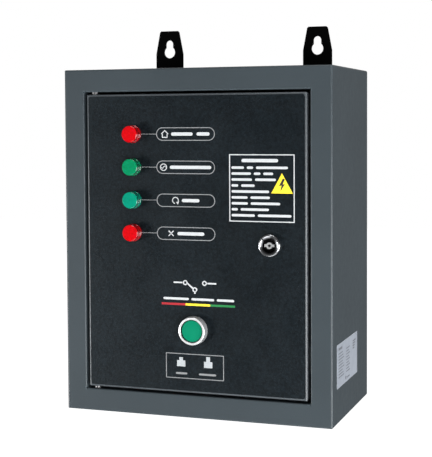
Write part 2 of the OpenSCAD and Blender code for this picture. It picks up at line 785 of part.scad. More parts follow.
module door_shell() in_box() color([0.22, 0.24, 0.26]) difference() {
    translate([0, 0, door_z]) folded_box(door_w, door_h, door_fold, bend_r);
    block(-door_w / 2 + sheet, door_w / 2 - sheet, sheet, box_d,
        door_z + sheet, door_z + door_h - sheet);
    plate_at(-1, sheet + 2) control_holes();
    translate([hinge_x, hinge_depth, 0])
        cylinder(h = box_h, r = hinge_pin_r + pin_fit);
}

module door_overlay() in_box() color([0.08, 0.09, 0.10]) plate_at(-film, film) difference() {
    translate([0, door_z + door_h / 2])
        rounded_rect(door_w - 2 * film_inset, door_h - 2 * film_inset, 2.5);
    control_holes();
}

module door_gasket() in_box() color([0.06, 0.06, 0.06]) plate_at(sheet, 3) difference() {
    w = door_w - 2 * sheet;
    h = door_h - 2 * sheet;
    translate([0, door_z + door_h / 2]) square([w, h], center = true);
    translate([0, door_z + door_h / 2]) square([w - 16, h - 16], center = true);
}

// ---------- pilot lamps ----------

lens_h = 11;
lens_r = 8.7;
lens_flange_r = 9.1;
lens_groove = 0.45;

// A lens with a base flange, two grooves round its side and a rounded rim
module lamp_lens(i) turned_out(-lamp_left, lamp_z(i), -film) difference() {
    polygon(concat(
        [[0, 0], [lens_flange_r, 0], [lens_flange_r, 2.2], [lens_r, 2.6]],
        [for (h = [4.2, 7]) each [[lens_r, h], [lens_r - lens_groove, h + 0.3],
            [lens_r - lens_groove, h + 0.8], [lens_r, h + 1.1]]],
        [for (a = [0:18:90]) [lens_r - 1.2 + 1.2 * cos(a), lens_h - 1.4 + 1.2 * sin(a)]],
        [[4, lens_h - 0.05], [0, lens_h]]));
    square([6, 9]);
}

module lamp_lens_house() in_box() color([0.85, 0.02, 0.05]) lamp_lens(0);
module lamp_lens_generator() in_box() color([0.0, 0.55, 0.35]) lamp_lens(1);
module lamp_lens_auto() in_box() color([0.0, 0.55, 0.38]) lamp_lens(2);
module lamp_lens_failure() in_box() color([0.85, 0.02, 0.05]) lamp_lens(3);

// Lamp bodies behind the lenses: emitter, threaded barrel, rear housing
// and two screw tabs
module lamp_bodies() in_box() color([0.15, 0.15, 0.16]) for (i = [0:3]) {
    z = lamp_z(i);
    rod_y(-lamp_left, z, -film - 5, -film, 5.9);
    rod_y(-lamp_left, z, -film, 18, 8);
    rod_y(-lamp_left, z, 18, 38, 7);
    for (s = [-1, 1])
        block(-lamp_left + s * 3.5 - 1.5, -lamp_left + s * 3.5 + 1.5, 38, 43, z - 2, z + 2);
}

module lamp_nuts() in_box() color([0.20, 0.20, 0.21]) for (i = [0:3]) difference() {
    union() {
        hex_y(-lamp_left, lamp_z(i), sheet + 1, sheet + 6, 11);
        rod_y(-lamp_left, lamp_z(i), sheet, sheet + 1, 11.4);
    }
    rod_y(-lamp_left, lamp_z(i), 0, 20, 8);
}

// ---------- mode button ----------

bezel_h = 8;
cap_r = 11.4;
cap_t = 1.8;
cap_sunk = 1.4;
stem_r = 6;
stem_end = 18;
stem_well = stem_end + button_travel + 2;

module button_bezel() in_box() color([0.86, 0.87, 0.88]) {
    turned_out(button_right, button_height, -film)
        polygon(concat(
            [[stem_r + pin_fit, 0], [button_bezel_r + 0.5, 0], [button_bezel_r + 0.5, 1],
                [button_bezel_r + 0.1, bezel_h - 1.2]],
            [for (a = [0:30:90]) [button_bezel_r - 0.9 + 0.9 * cos(a), bezel_h - 0.9 + 0.9 * sin(a)]],
            [[cap_r + 0.8, bezel_h], [cap_r + 0.3, bezel_h - 0.5],
                [cap_r + 0.3, 0.4], [stem_r + pin_fit, 0.4]]));
    difference() {
        rod_y(button_right, button_height, -film, 14, button_hole_r);
        rod_y(button_right, button_height, -film - 1, 15, stem_r + pin_fit);
    }
}

module button_contact_block() in_box() color([0.12, 0.28, 0.20]) difference() {
    union() {
        block(button_right - 15, button_right + 15, 14, 48, button_height - 20, button_height + 20);
        block(button_right - 13, button_right + 13, 8, 14, button_height - 19, button_height - 17);
        block(button_right - 13, button_right + 13, 8, 14, button_height + 17, button_height + 19);
    }
    rod_y(button_right, button_height, 13, stem_well, stem_r + pin_fit);
    for (sx = [-1, 1], sz = [-1, 1]) {
        rod_y(button_right + sx * 8, button_height + sz * 14, 38, 49, 3);
        block(button_right + sx * 8 - 3.6, button_right + sx * 8 + 3.6, 30, 37,
            button_height + sz * 17 - 3.5, button_height + sz * 17 + 3.5);
    }
}

module mode_button_cap() in_box() color([0.0, 0.50, 0.33]) {
    front = -film - bezel_h + cap_sunk;
    turned_out(button_right, button_height, front + cap_t)
        polygon(concat([[0, 0], [cap_r, 0]],
            [for (a = [0:30:90]) [cap_r - 0.5 + 0.5 * cos(a), cap_t - 0.6 + 0.5 * sin(a)]],
            [[0, cap_t]]));
    rod_y(button_right, button_height, front + cap_t, stem_end, stem_r);
}

// ---------- cam lock ----------

core_r = 7.1;
barrel_end = rim_fold;
cam_y = rim_fold + 0.6;
cam_t = 2.5;

lock_ring_r = 11.4;
lock_ring_h = 4.4;
lock_rim_r = 1.7;
lock_dish = 1.1;

// A ring round the keyway, with a rounded rim and a dished face, on a barrel
// through the door
module lock_housing() in_box() color([0.80, 0.81, 0.82]) {
    turned_out(lock_right, lock_height, -film) polygon(concat(
        [[core_r + pin_fit, 0], [lock_ring_r, 0]],
        [for (a = [0:15:90]) [lock_ring_r - lock_rim_r * (1 - cos(a)),
            lock_ring_h - lock_rim_r * (1 - sin(a))]],
        [[core_r + pin_fit, lock_ring_h - lock_dish]]));
    difference() {
        rod_y(lock_right, lock_height, -film, barrel_end, lock_hole_r);
        rod_y(lock_right, lock_height, -film - 1, barrel_end + 1, core_r + pin_fit);
    }
}

// The nuts behind the door that hold the mode button and the lock
module control_nuts() in_box() color([0.72, 0.73, 0.74]) {
    difference() {
        hex_y(button_right, button_height, sheet, sheet + 5, 16.5);
        rod_y(button_right, button_height, 0, 20, button_hole_r);
    }
    difference() {
        hex_y(lock_right, lock_height, sheet, sheet + 5, 15);
        rod_y(lock_right, lock_height, 0, 20, lock_hole_r);
    }
}

// Core with a double-bit key pin standing in its recess
module lock_core() in_box() color([0.35, 0.35, 0.36]) {
    rod_y(lock_right, lock_height, 2.5, barrel_end, core_r);
    block(lock_right - 3.5, lock_right + 3.5, barrel_end, cam_y + cam_t,
        lock_height - 3.5, lock_height + 3.5);
    difference() {
        union() {
            rod_y(lock_right, lock_height, -3, 2.5, 3.3);
            block(lock_right - 5.2, lock_right + 5.2, -2.6, 2.5,
                lock_height - 1.3, lock_height + 1.3);
        }
        rod_y(lock_right, lock_height, -4, 1, 1.3);
    }
}

// The cam, pointing up at rest
module lock_cam() in_box() color([0.66, 0.64, 0.55])
    plate_at(cam_y, cam_t) translate([lock_right, lock_height]) difference() {
        union() {
            circle(8);
            translate([-6, 0]) square([12, cam_reach - 6]);
            translate([0, cam_reach - 6]) circle(6);
        }
        square(7, center = true);
    }

// The screw that holds the cam on the core
module lock_cam_screw() in_box() color("silver")
    difference() {
        rod_y(lock_right, lock_height, cam_y + cam_t, cam_y + cam_t + 3, 5.2);
        block(lock_right - 6, lock_right + 6, cam_y + cam_t + 2, cam_y + cam_t + 4,
            lock_height - 0.6, lock_height + 0.6);
    }

// ---------- wiring on the door ----------

door_loom_x = -92;
door_loom_y = 26;
door_loom_low = 60;

// A sleeve down the hinge side, with a pair of leads to each lamp and to
// the mode button
module door_wires() in_box() color([0.13, 0.13, 0.14]) {
    translate([door_loom_x, door_loom_y, door_loom_low])
        cylinder(h = lamp_z(0) - door_loom_low + 12, r = 4.5, $fn = 24);
    for (i = [0:3], s = [-1, 1])
        wire([
            [door_loom_x + 3.5, door_loom_y + 1, lamp_z(i) + s * 1.6 - 9],
            [door_loom_x + 10, door_loom_y + 3, lamp_z(i) + s * 1.6 - 8],
            [-lamp_left + s * 3.5 - 4, 48, lamp_z(i) - 7],
            [-lamp_left + s * 3.5, 46.5, lamp_z(i)],
            [-lamp_left + s * 3.5, 43, lamp_z(i)]
        ], thin_r, 2, 6);
    for (s = [-1, 1])
        wire([
            [door_loom_x + 3.5, door_loom_y + s * 1.5, button_height + 6 - s * 2],
            [door_loom_x + 14, door_loom_y + s * 1.5, button_height + 7 - s * 2],
            [button_right - 30, 33.5, button_height + s * 24],
            [button_right - 8, 33.5, button_height + s * 27],
            [button_right - 8, 33.5, button_height + s * 18]
        ], thin_r, 4, 6);
}

// ---------- drawing ----------

enclosure_shell();
back_panel();
lug_left();
lug_right();
lug_fasteners();
gland_plate();
gland_plate_screws();
gland_bodies();
gland_dome_nuts();
gland_seals();
gland_locknuts();
hinge_pins();
door_stops();
plate_studs();
plate_nuts();
mounting_plate();
din_rails();
house_contactor_base();
house_contactor_cover();
generator_contactor_base();
generator_contactor_cover();
interlock_block();
house_carriage();
generator_carriage();
terminal_blocks();
terminal_end_stops();
clamp_screws();
fuse_bases();
fuse_carrier_left();
fuse_carrier_right();
fuse_link_left();
fuse_link_right();
relay_socket();
relay();
control_module();
control_module_terminals();
earth_bar();
rating_label();
house_wires();
generator_wires();
load_wires();
control_wires();
door_shell();
door_overlay();
door_gasket();
lamp_lens_house();
lamp_lens_generator();
lamp_lens_auto();
lamp_lens_failure();
lamp_bodies();
lamp_nuts();
button_bezel();
button_contact_block();
lock_housing();
control_nuts();
door_wires();
mode_button_cap();
lock_core();
lock_cam();
lock_cam_screw();
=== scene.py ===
"""A wall-hung transfer switch box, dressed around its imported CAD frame."""

import json
import math

import bmesh
import bpy
from mathutils import Matrix, Vector


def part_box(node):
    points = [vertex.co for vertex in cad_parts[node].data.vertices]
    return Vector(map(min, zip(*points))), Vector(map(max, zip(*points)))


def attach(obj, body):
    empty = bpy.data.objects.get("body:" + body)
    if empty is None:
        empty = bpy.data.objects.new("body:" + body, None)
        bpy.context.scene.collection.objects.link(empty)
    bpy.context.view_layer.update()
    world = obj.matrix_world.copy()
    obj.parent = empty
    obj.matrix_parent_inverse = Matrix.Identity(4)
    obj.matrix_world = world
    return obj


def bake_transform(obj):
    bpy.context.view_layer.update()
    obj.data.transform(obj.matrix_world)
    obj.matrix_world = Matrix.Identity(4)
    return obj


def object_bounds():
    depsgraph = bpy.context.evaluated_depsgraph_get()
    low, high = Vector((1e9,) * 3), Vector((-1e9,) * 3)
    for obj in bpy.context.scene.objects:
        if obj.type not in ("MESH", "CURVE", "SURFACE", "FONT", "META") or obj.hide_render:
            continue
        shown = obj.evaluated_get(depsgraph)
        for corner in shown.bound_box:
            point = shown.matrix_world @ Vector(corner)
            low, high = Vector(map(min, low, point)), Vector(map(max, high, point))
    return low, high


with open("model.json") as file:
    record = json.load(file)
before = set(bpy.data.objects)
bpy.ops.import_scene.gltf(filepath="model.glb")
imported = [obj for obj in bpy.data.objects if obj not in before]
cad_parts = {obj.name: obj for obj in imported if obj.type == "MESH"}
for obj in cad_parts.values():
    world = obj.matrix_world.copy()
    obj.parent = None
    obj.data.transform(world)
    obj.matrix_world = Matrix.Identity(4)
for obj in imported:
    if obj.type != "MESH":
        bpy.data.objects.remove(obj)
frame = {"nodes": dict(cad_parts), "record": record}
cad_low, cad_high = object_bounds()

NODES = frame["nodes"]

# ---------- places taken from the frame ----------

SHELL_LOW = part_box("enclosure_shell")[0]
FACE_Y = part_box("door_overlay")[0].y     # front of the film on the door
KEY_PIN_LENGTH = 0.0055
LAMPS = ("lamp_lens_house", "lamp_lens_generator", "lamp_lens_auto", "lamp_lens_failure")


def middle(node):
    low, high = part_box(node)
    return (low + high) / 2


def at(x, y, z):
    """A place measured from the centre line, the front face and the bottom of the box."""
    return Vector((x, SHELL_LOW.y + y, SHELL_LOW.z + z))


# ---------- node material helpers ----------


def new_material(name):
    material = bpy.data.materials.new(name)
    material.use_nodes = True
    return material


def add_node(material, kind):
    return material.node_tree.nodes.new("ShaderNode" + kind)


def feed(material, socket, value):
    """Links a socket to an input, or sets it to a number or to a colour of three numbers."""
    if isinstance(value, bpy.types.NodeSocket):
        material.node_tree.links.new(value, socket)
    else:
        socket.default_value = (*value, 1) if socket.type == "RGBA" else value


def shader_input(material, name):
    """One of the shader's inputs by name, with _ for a space."""
    return material.node_tree.nodes["Principled BSDF"].inputs[name.replace("_", " ")]


def set_shader(material, **values):
    """Feeds the shader's inputs, each with a socket, a number or a colour."""
    for name, value in values.items():
        feed(material, shader_input(material, name), value)


def base_of(material):
    """The socket that feeds the shader's base colour."""
    return shader_input(material, "Base_Color").links[0].from_socket


def shaded(colour, factor):
    return tuple(min(1, c * factor) for c in colour)


def coordinates(material, kind="Object"):
    return add_node(material, "TexCoord").outputs[kind]


def noise(material, scale, detail=3.0, rough=0.5, stretch=None):
    """A noise texture in object space, in features per metre."""
    coords = coordinates(material)
    if stretch:
        mapping = add_node(material, "Mapping")
        feed(material, mapping.inputs["Scale"], stretch)
        feed(material, mapping.inputs["Vector"], coords)
        coords = mapping.outputs["Vector"]
    node = add_node(material, "TexNoise")
    for name, value in (("Scale", scale), ("Detail", detail), ("Roughness", rough),
                        ("Vector", coords)):
        feed(material, node.inputs[name], value)
    return node.outputs["Fac"]


def cells(material, scale, output):
    """A Voronoi texture in object space."""
    node = add_node(material, "TexVoronoi")
    feed(material, node.inputs["Scale"], scale)
    feed(material, node.inputs["Vector"], coordinates(material))
    return node.outputs[output]


def ramp(material, factor, stops):
    """A colour ramp; stops are (position, colour) or (position, grey)."""
    node = add_node(material, "ValToRGB")
    elements = node.color_ramp.elements
    while len(elements) < len(stops):
        elements.new(0.5)
    for element, (place, value) in zip(elements, stops):
        element.position = place
        grey = isinstance(value, (int, float))
        element.color = (value, value, value, 1) if grey else (*value, 1)
    feed(material, node.inputs["Fac"], factor)
    return node.outputs["Color"]


def cloudy(material, scale, detail, stops, rough=0.5, stretch=None):
    """Noise through a colour ramp."""
    return ramp(material, noise(material, scale, detail, rough, stretch), stops)


def mix(material, factor, first, second, blend="MIX"):
    """Mixes two colours; each is a socket or a colour, and factor a socket or a number."""
    node = add_node(material, "Mix")
    node.data_type = "RGBA"
    node.blend_type = blend
    for index, value in ((0, factor), (6, first), (7, second)):
        feed(material, node.inputs[index], value)
    return node.outputs[2]


def bump(material, height, strength, distance, after=None):
    node = add_node(material, "Bump")
    feed(material, node.inputs["Strength"], strength)
    feed(material, node.inputs["Distance"], distance)
    feed(material, node.inputs["Height"], height)
    if after is not None:
        feed(material, node.inputs["Normal"], after)
    return node.outputs["Normal"]


def vector_math(material, operation, *terms):
    node = add_node(material, "VectorMath")
    node.operation = operation
    for socket, term in zip(node.inputs, terms):
        feed(material, socket, term)
    return node.outputs


def slope(material, value, low, high):
    """0 below the low value and 1 above the high one."""
    node = add_node(material, "MapRange")
    for name, number in (("From Min", low), ("From Max", high), ("Value", value)):
        feed(material, node.inputs[name], number)
    return node.outputs["Result"]


def y_of(material, vector):
    node = add_node(material, "SeparateXYZ")
    feed(material, node.inputs["Vector"], vector)
    return node.outputs["Y"]


def edge_mask(material, radius, low, high):
    """White along convex and concave edges within the radius, from a rounded normal."""
    bevel = add_node(material, "Bevel")
    bevel.samples = 4
    feed(material, bevel.inputs["Radius"], radius)
    flat = add_node(material, "NewGeometry").outputs["True Normal"]
    dot = vector_math(material, "DOT_PRODUCT", bevel.outputs["Normal"], flat)["Value"]
    return ramp(material, dot, [(low, 1.0), (high, 0.0)])


def facing_out(material):
    """0 where a face looks to the door's front, 1 on its sides."""
    return slope(material, y_of(material, coordinates(material, "Normal")), -0.9, -0.4)


def tint_round(material, node, inner, outer, near=None, far=None):
    """Another colour near the node's axis along Y, or away from it, turning between two radii."""
    away = vector_math(material, "SUBTRACT", coordinates(material), middle(node))["Vector"]
    flat = vector_math(material, "MULTIPLY", away, (1, 0, 1))["Vector"]
    mask = slope(material, vector_math(material, "LENGTH", flat)["Value"], inner, outer)
    old = base_of(material)
    set_shader(material, Base_Color=mix(material, mask, near or old, far or old))


# ---------- materials ----------

PAINT_GRAIN = 2600           # specks in a metre
PAINT_PEEL = 0.00004         # depth of the orange peel


def powder_coat(name, colour, roughness=0.42, wear_and_highlight=0.0, gloss=0.6):
    """Baked powder coat: fine orange peel, faint cloudiness, and lighter edges that are partly
    rubbed paint and partly a painted highlight.
    """
    material = new_material(name)
    cloud = cloudy(material, 14, 3, [(0.30, shaded(colour, 0.95)), (0.70, shaded(colour, 1.05))])
    speck = cloudy(material, PAINT_GRAIN, 1.5, [(0.40, 0.82), (0.62, 1.12)])
    tint = mix(material, 0.35, cloud, speck, "MULTIPLY")
    if wear_and_highlight:
        # lighter edges: partly rubbed paint, partly a painted highlight along the bends
        edges = edge_mask(material, 0.0012, 0.93, 0.995)
        tint = mix(material, edges, tint, shaded(colour, 1 + wear_and_highlight))
    rough = cloudy(material, 150, 5, [(0.3, roughness - 0.03), (0.7, roughness + 0.03)])
    peel = bump(material, noise(material, PAINT_GRAIN * 0.35, 2), 0.25, PAINT_PEEL)
    fine = bump(material, noise(material, PAINT_GRAIN, 1), 0.35, PAINT_PEEL * 0.6, peel)
    set_shader(material, Base_Color=tint, Roughness=rough, Normal=fine,
               Coat_Weight=gloss * 0.6, Coat_Roughness=0.16, Specular_IOR_Level=0.02 + 0.5 * gloss)
    return material


def film(name, colour, roughness):
    """Printed film with a close pebbled grain, faint dust and cloudiness."""
    material = new_material(name)
    cloud = cloudy(material, 14, 5, [(0.3, shaded(colour, 0.84)), (0.7, shaded(colour, 1.18))])
    grain = cloudy(material, 420, 3, [(0.36, 0.45), (0.66, 1.35)], 0.6)
    cloud = mix(material, 1.0, cloud, grain, "MULTIPLY")
    dust = cloudy(material, 1100, 4, [(0.56, 0.0), (0.78, 0.11)], 0.7)
    tint = mix(material, dust, cloud, (0.26, 0.30, 0.33))
    rough = cloudy(material, 30, 6, [(0.25, roughness - 0.04), (0.75, roughness + 0.08)])
    grains = ramp(material, cells(material, 1150, "Distance"), [(0.0, 1.0), (0.75, 0.0)])
    set_shader(material, Base_Color=tint, Roughness=rough,
               Normal=bump(material, grains, 0.7, 0.00012),
               IOR=1.40, Specular_IOR_Level=0.30, Specular_Tint=(0.80, 0.93, 1.0))
    return material


def moulded(name, colour, roughness=0.45, grain=1800, depth=0.00003, specular=0.5):
    """Moulded plastic: spark-eroded grain, slight flow marks, and lighter edges that are partly
    scuffs and partly a painted highlight.
    """
    material = new_material(name)
    flow = cloudy(material, 35, 3, [(0.3, shaded(colour, 0.93)), (0.7, shaded(colour, 1.05))],
                  stretch=(1, 1, 0.25))
    # lighter edges: partly scuffs, partly a painted highlight
    scuffs_and_highlight = mix(material, 0.22, colour, (0.75, 0.75, 0.75))
    tint = mix(material, edge_mask(material, 0.0006, 0.92, 0.995), flow, scuffs_and_highlight)
    rough = cloudy(material, 90, 4, [(0.3, roughness - 0.06), (0.7, roughness + 0.06)])
    set_shader(material, Base_Color=tint, Roughness=rough, Specular_IOR_Level=specular,
               Normal=bump(material, noise(material, grain, 2), 0.3, depth))
    return material


def rubber(name, colour):
    """Soft rubber, darker in its pores."""
    material = new_material(name)
    pores = noise(material, 1400, 5, 0.65)
    tint = ramp(material, pores, [(0.35, shaded(colour, 0.7)), (0.7, shaded(colour, 1.6))])
    set_shader(material, Base_Color=tint, Normal=bump(material, pores, 0.5, 0.00012),
               Roughness=0.8)
    return material


def metal(name, colour, roughness=0.3, brushed=None, spangle=False, pits=0.15, metallic=1.0,
          stains=0.82):
    """Plated or brushed metal, with fine scratches and stains."""
    material = new_material(name)
    tint = cloudy(material, 70, 5, [(0.3, shaded(colour, stains)), (0.7, colour)])
    if spangle:
        flakes = ramp(material, cells(material, 190, "Color"), [(0.2, 0.88), (0.8, 1.04)])
        tint = mix(material, 0.6, tint, flakes, "MULTIPLY")
    rough = cloudy(material, 220, 6, [(0.25, max(0.04, roughness - 0.08)),
                                      (0.75, roughness + 0.10)], 0.6, brushed)
    scratch = noise(material, 900, 4, 0.6, brushed)
    set_shader(material, Base_Color=tint, Roughness=rough, Metallic=metallic,
               Normal=bump(material, scratch, pits, 0.00002))
    return material


def lens_plastic(name, colour, painted_shade):
    """Clear tinted lens moulding over a diffusing core, with painted shade along its grooves, its
    rim and its sides.
    """
    material = new_material(name)
    cloud = cloudy(material, 240, 3, [(0.3, shaded(colour, 0.90)), (0.7, colour)])
    # painted shade along the grooves and rim, and on the sides that face away from the front
    tint = mix(material, edge_mask(material, 0.0009, 0.80, 0.99), cloud, painted_shade)
    tint = mix(material, facing_out(material), tint, mix(material, 0.92, tint, painted_shade))
    rough = cloudy(material, 300, 3, [(0.3, 0.10), (0.7, 0.20)])
    set_shader(material, Base_Color=tint, Roughness=rough,
               Normal=bump(material, noise(material, 260, 2), 0.06, 0.0001),
               Subsurface_Weight=0.2, Subsurface_Radius=colour, Subsurface_Scale=0.004,
               Specular_IOR_Level=0.1, Coat_Weight=0.8, Coat_Roughness=0.05,
               Emission_Color=colour, Emission_Strength=0.06)
    return material


def lock_metal(name, floor_y):
    """Blackened steel whose key pin, in front of the recess's floor, is polished bright."""
    material = metal(name, (0.010, 0.010, 0.011), 0.45)
    depth = y_of(material, coordinates(material))
    recessed = slope(material, depth, floor_y - 0.0004, floor_y - 0.0002)
    bright = cloudy(material, 500, 3, [(0.3, (0.36, 0.37, 0.38)), (0.7, (0.56, 0.56, 0.56))])
    set_shader(material, Base_Color=mix(material, recessed, bright, base_of(material)))
    return material


def ink(name, colour):
    """Screen-printed ink: slightly uneven cover over the film's grain."""
    material = new_material(name)
    cover = cloudy(material, 1600, 3, [(0.3, shaded(colour, 0.84)), (0.6, colour)])
    grain = bump(material, noise(material, 1500, 2), 0.25, 0.00002)
    set_shader(material, Base_Color=cover, Normal=grain, Roughness=0.45)
    return material


def clear_cover(name, colour):
    """Clear plastic with faint waves in it."""
    material = new_material(name)
    waves = bump(material, noise(material, 120, 3), 0.05, 0.0002)
    rough = cloudy(material, 200, 4, [(0.3, 0.05), (0.7, 0.14)])
    set_shader(material, Base_Color=colour, Roughness=rough, Normal=waves,
               Transmission_Weight=0.85, IOR=1.45)
    return material


GREY_PAINT = powder_coat("grey_powder_coat", (0.038, 0.0495, 0.057), wear_and_highlight=0.9, gloss=0.35)
BLACK_PAINT = powder_coat("black_powder_coat", (0.0012, 0.0013, 0.0013), 0.6, gloss=0.0)
DOOR_PAINT = powder_coat("door_powder_coat", (0.055, 0.064, 0.072), 0.38, wear_and_highlight=0.9, gloss=0.55)
FILM = film("door_film", (0.0040, 0.0064, 0.0084), 0.33)
GALVANISED = metal("galvanised_sheet", (0.60, 0.62, 0.64), 0.44, spangle=True, metallic=0.3,
                   stains=0.92)
ZINC = metal("zinc_plate", (0.64, 0.64, 0.62), 0.30, metallic=0.5)
YELLOW_ZINC = metal("yellow_zinc_plate", (0.68, 0.56, 0.30), 0.34, metallic=0.5)
# The lock's plating has painted shade round the core, inside the lock's mouth.
CHROME = metal("chrome_plate", (0.46, 0.47, 0.49), 0.20, pits=0.05)
tint_round(CHROME, "lock_core", 0.0080, 0.0094, near=(0.045, 0.047, 0.050))
# The ring round the button has painted shade, tinted like a reflection of the green cap, where it
# meets the cap, and painted shade on its outer rim.
SATIN_RING = metal("satin_ring", (0.80, 0.81, 0.82), 0.30, pits=0.08, metallic=0.40)
tint_round(SATIN_RING, "button_bezel", 0.0117, 0.0122, near=(0.010, 0.020, 0.016))
tint_round(SATIN_RING, "button_bezel", 0.0139, 0.0143, far=(0.36, 0.37, 0.38))
DARK_STEEL = metal("dark_steel", (0.16, 0.16, 0.165), 0.38)
# The key pin is bright, with painted shade in its bore.
LOCK_CORE = lock_metal("lock_core_steel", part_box("lock_core")[0].y + KEY_PIN_LENGTH)
tint_round(LOCK_CORE, "lock_core", 0.0011, 0.0017, near=(0.012, 0.012, 0.012))
BRASS = metal("brass", (0.78, 0.57, 0.22), 0.30, brushed=(0.1, 1, 1), metallic=0.6)
COPPER = metal("copper_winding", (0.62, 0.24, 0.10), 0.32, brushed=(1, 1, 0.2), metallic=0.7)
LABEL = moulded("silver_label", (0.30, 0.33, 0.38), 0.34, grain=2400, depth=0.00001)
RUBBER = rubber("seal_rubber", (0.022, 0.022, 0.022))
NYLON = moulded("black_nylon", (0.020, 0.020, 0.021), 0.42)
LAMP_BLACK = moulded("lamp_black", (0.025, 0.025, 0.026), 0.40)
LIGHT_PLASTIC = moulded("light_plastic", (0.78, 0.78, 0.72), 0.42)
DARK_PLASTIC = moulded("dark_plastic", (0.040, 0.044, 0.050), 0.42)
WHITE_PLASTIC = moulded("white_plastic", (0.88, 0.88, 0.84), 0.38)
GREY_PLASTIC = moulded("grey_plastic", (0.38, 0.39, 0.40), 0.45)
BLUE_PLASTIC = moulded("blue_plastic", (0.04, 0.13, 0.45), 0.45)
GREEN_PLASTIC = moulded("green_plastic", (0.012, 0.22, 0.08), 0.40)
CONTACT_PLASTIC = moulded("contact_plastic", (0.025, 0.10, 0.060), 0.40)
# The cap has painted shade round its edge.
CAP_GREEN = moulded("cap_green", (0.0, 0.195, 0.102), 0.38, grain=900, depth=0.000015,
                    specular=0.12)
tint_round(CAP_GREEN, "mode_button_cap", 0.0106, 0.0113, far=(0.0, 0.030, 0.018))
LENS_RED = lens_plastic("lens_red", (0.52, 0.0, 0.003), (0.085, 0.0, 0.001))
LENS_GREEN = lens_plastic("lens_green", (0.0, 0.215, 0.088), (0.0, 0.032, 0.016))
LENS_TEAL = lens_plastic("lens_teal", (0.0, 0.240, 0.150), (0.0, 0.036, 0.026))
RELAY_CLEAR = clear_cover("relay_clear", (0.80, 0.88, 0.92))
WHITE_INK = ink("white_ink", (0.56, 0.58, 0.60))
PALE_INK = ink("pale_ink", (0.43, 0.46, 0.48))
GREY_INK = ink("grey_ink", (0.24, 0.25, 0.26))
RED_INK = ink("red_ink", (0.40, 0.007, 0.016))
YELLOW_INK = ink("yellow_ink", (1.0, 0.76, 0.03))
GREEN_INK = ink("green_ink", (0.006, 0.195, 0.045))
LABEL_INK = ink("label_ink", (0.13, 0.14, 0.16))
DARK_INK = ink("dark_ink", (0.015, 0.015, 0.016))
WIRE_BROWN = moulded("wire_brown", (0.17, 0.064, 0.022), 0.32)
WIRE_BLACK = moulded("wire_black", (0.016, 0.016, 0.016), 0.34)
WIRE_BLUE = moulded("wire_blue", (0.015, 0.07, 0.36), 0.32)
WIRE_RED = moulded("wire_red", (0.48, 0.016, 0.016), 0.32)

SLOT_MATERIALS = {
    "enclosure_paint": GREY_PAINT, "lug_paint": BLACK_PAINT, "galvanised": GALVANISED,
    "zinc_hardware": ZINC, "door_paint": DOOR_PAINT, "overlay_film": FILM,
    "seal_rubber": RUBBER, "lens_red": LENS_RED, "lens_green": LENS_GREEN,
    "lens_teal": LENS_TEAL, "lamp_black": LAMP_BLACK, "gland_black": NYLON,
    "bezel_silver": SATIN_RING, "cap_green": CAP_GREEN, "contact_green": CONTACT_PLASTIC,
    "lock_chrome": CHROME, "lock_dark": LOCK_CORE, "cam_steel": YELLOW_ZINC,
    "contactor_body": LIGHT_PLASTIC, "contactor_cover": DARK_PLASTIC,
    "carriage_white": WHITE_PLASTIC, "terminal_grey": GREY_PLASTIC,
    "fuse_white": WHITE_PLASTIC, "carrier_grey": LIGHT_PLASTIC, "relay_clear": RELAY_CLEAR,
    "module_plastic": DARK_PLASTIC, "plug_green": GREEN_PLASTIC, "brass": BRASS,
    "label_silver": LABEL, "wire_brown": WIRE_BROWN, "wire_black": WIRE_BLACK,
    "wire_blue": WIRE_BLUE, "wire_red": WIRE_RED,
}

NODE_MATERIALS = {"hinge_pins": DARK_STEEL}


def paint_nodes():
    """Gives every CAD node the material of its slot in the record."""
    slots = {s["node"]: s["material_slot"] for s in frame["record"]["subparts"]}
    for name, obj in NODES.items():
        obj.data.materials.clear()
        obj.data.materials.append(NODE_MATERIALS.get(name) or SLOT_MATERIALS[slots[name]])


# ---------- mesh helpers ----------


def add_piece(name, bm, body, material, smooth=False):
    """Turns a bmesh into a piece that rides on a body, or on none if the body is None."""
    bmesh.ops.recalc_face_normals(bm, faces=bm.faces)
    mesh = bpy.data.meshes.new(name)
    bm.to_mesh(mesh)
    bm.free()
    mesh.materials.append(material)
    if smooth:
        mesh.shade_smooth()
    obj = bpy.data.objects.new(name, mesh)
    bpy.context.scene.collection.objects.link(obj)
    if body:
        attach(obj, body)
    return obj


def facing_front(u, v, h):
    """Outlines drawn in X and Z, with their height along Y."""
    return u, h, v


def facing_up(u, v, h):
    """Outlines drawn in X and Y, with their height along Z."""
    return u, v, h


def facing_right(u, v, h):
    """Outlines drawn in Y and Z, with their height along X."""
    return h, u, v


def prism(bm, outline, h0, h1, place=facing_front):
    """A closed solid from a flat outline, between two heights."""
    front = [bm.verts.new(place(u, v, h0)) for u, v in outline]
    back = [bm.verts.new(place(u, v, h1)) for u, v in outline]
    bm.faces.new(front)
    bm.faces.new(back[::-1])
    for i in range(len(outline)):
        j = (i + 1) % len(outline)
        bm.faces.new((front[i], back[i], back[j], front[j]))


def ring_prism(bm, outer, inner, h0, h1, place=facing_front):
    """A closed frame between two outlines with the same number of points."""
    outer_front, outer_back, inner_front, inner_back = (
        [bm.verts.new(place(u, v, h)) for u, v in line]
        for line in (outer, inner) for h in (h0, h1))
    for i in range(len(outer)):
        j = (i + 1) % len(outer)
        bm.faces.new((outer_front[i], outer_front[j], inner_front[j], inner_front[i]))
        bm.faces.new((outer_back[i], inner_back[i], inner_back[j], outer_back[j]))
        bm.faces.new((outer_front[i], outer_back[i], outer_back[j], outer_front[j]))
        bm.faces.new((inner_front[i], inner_front[j], inner_back[j], inner_back[i]))


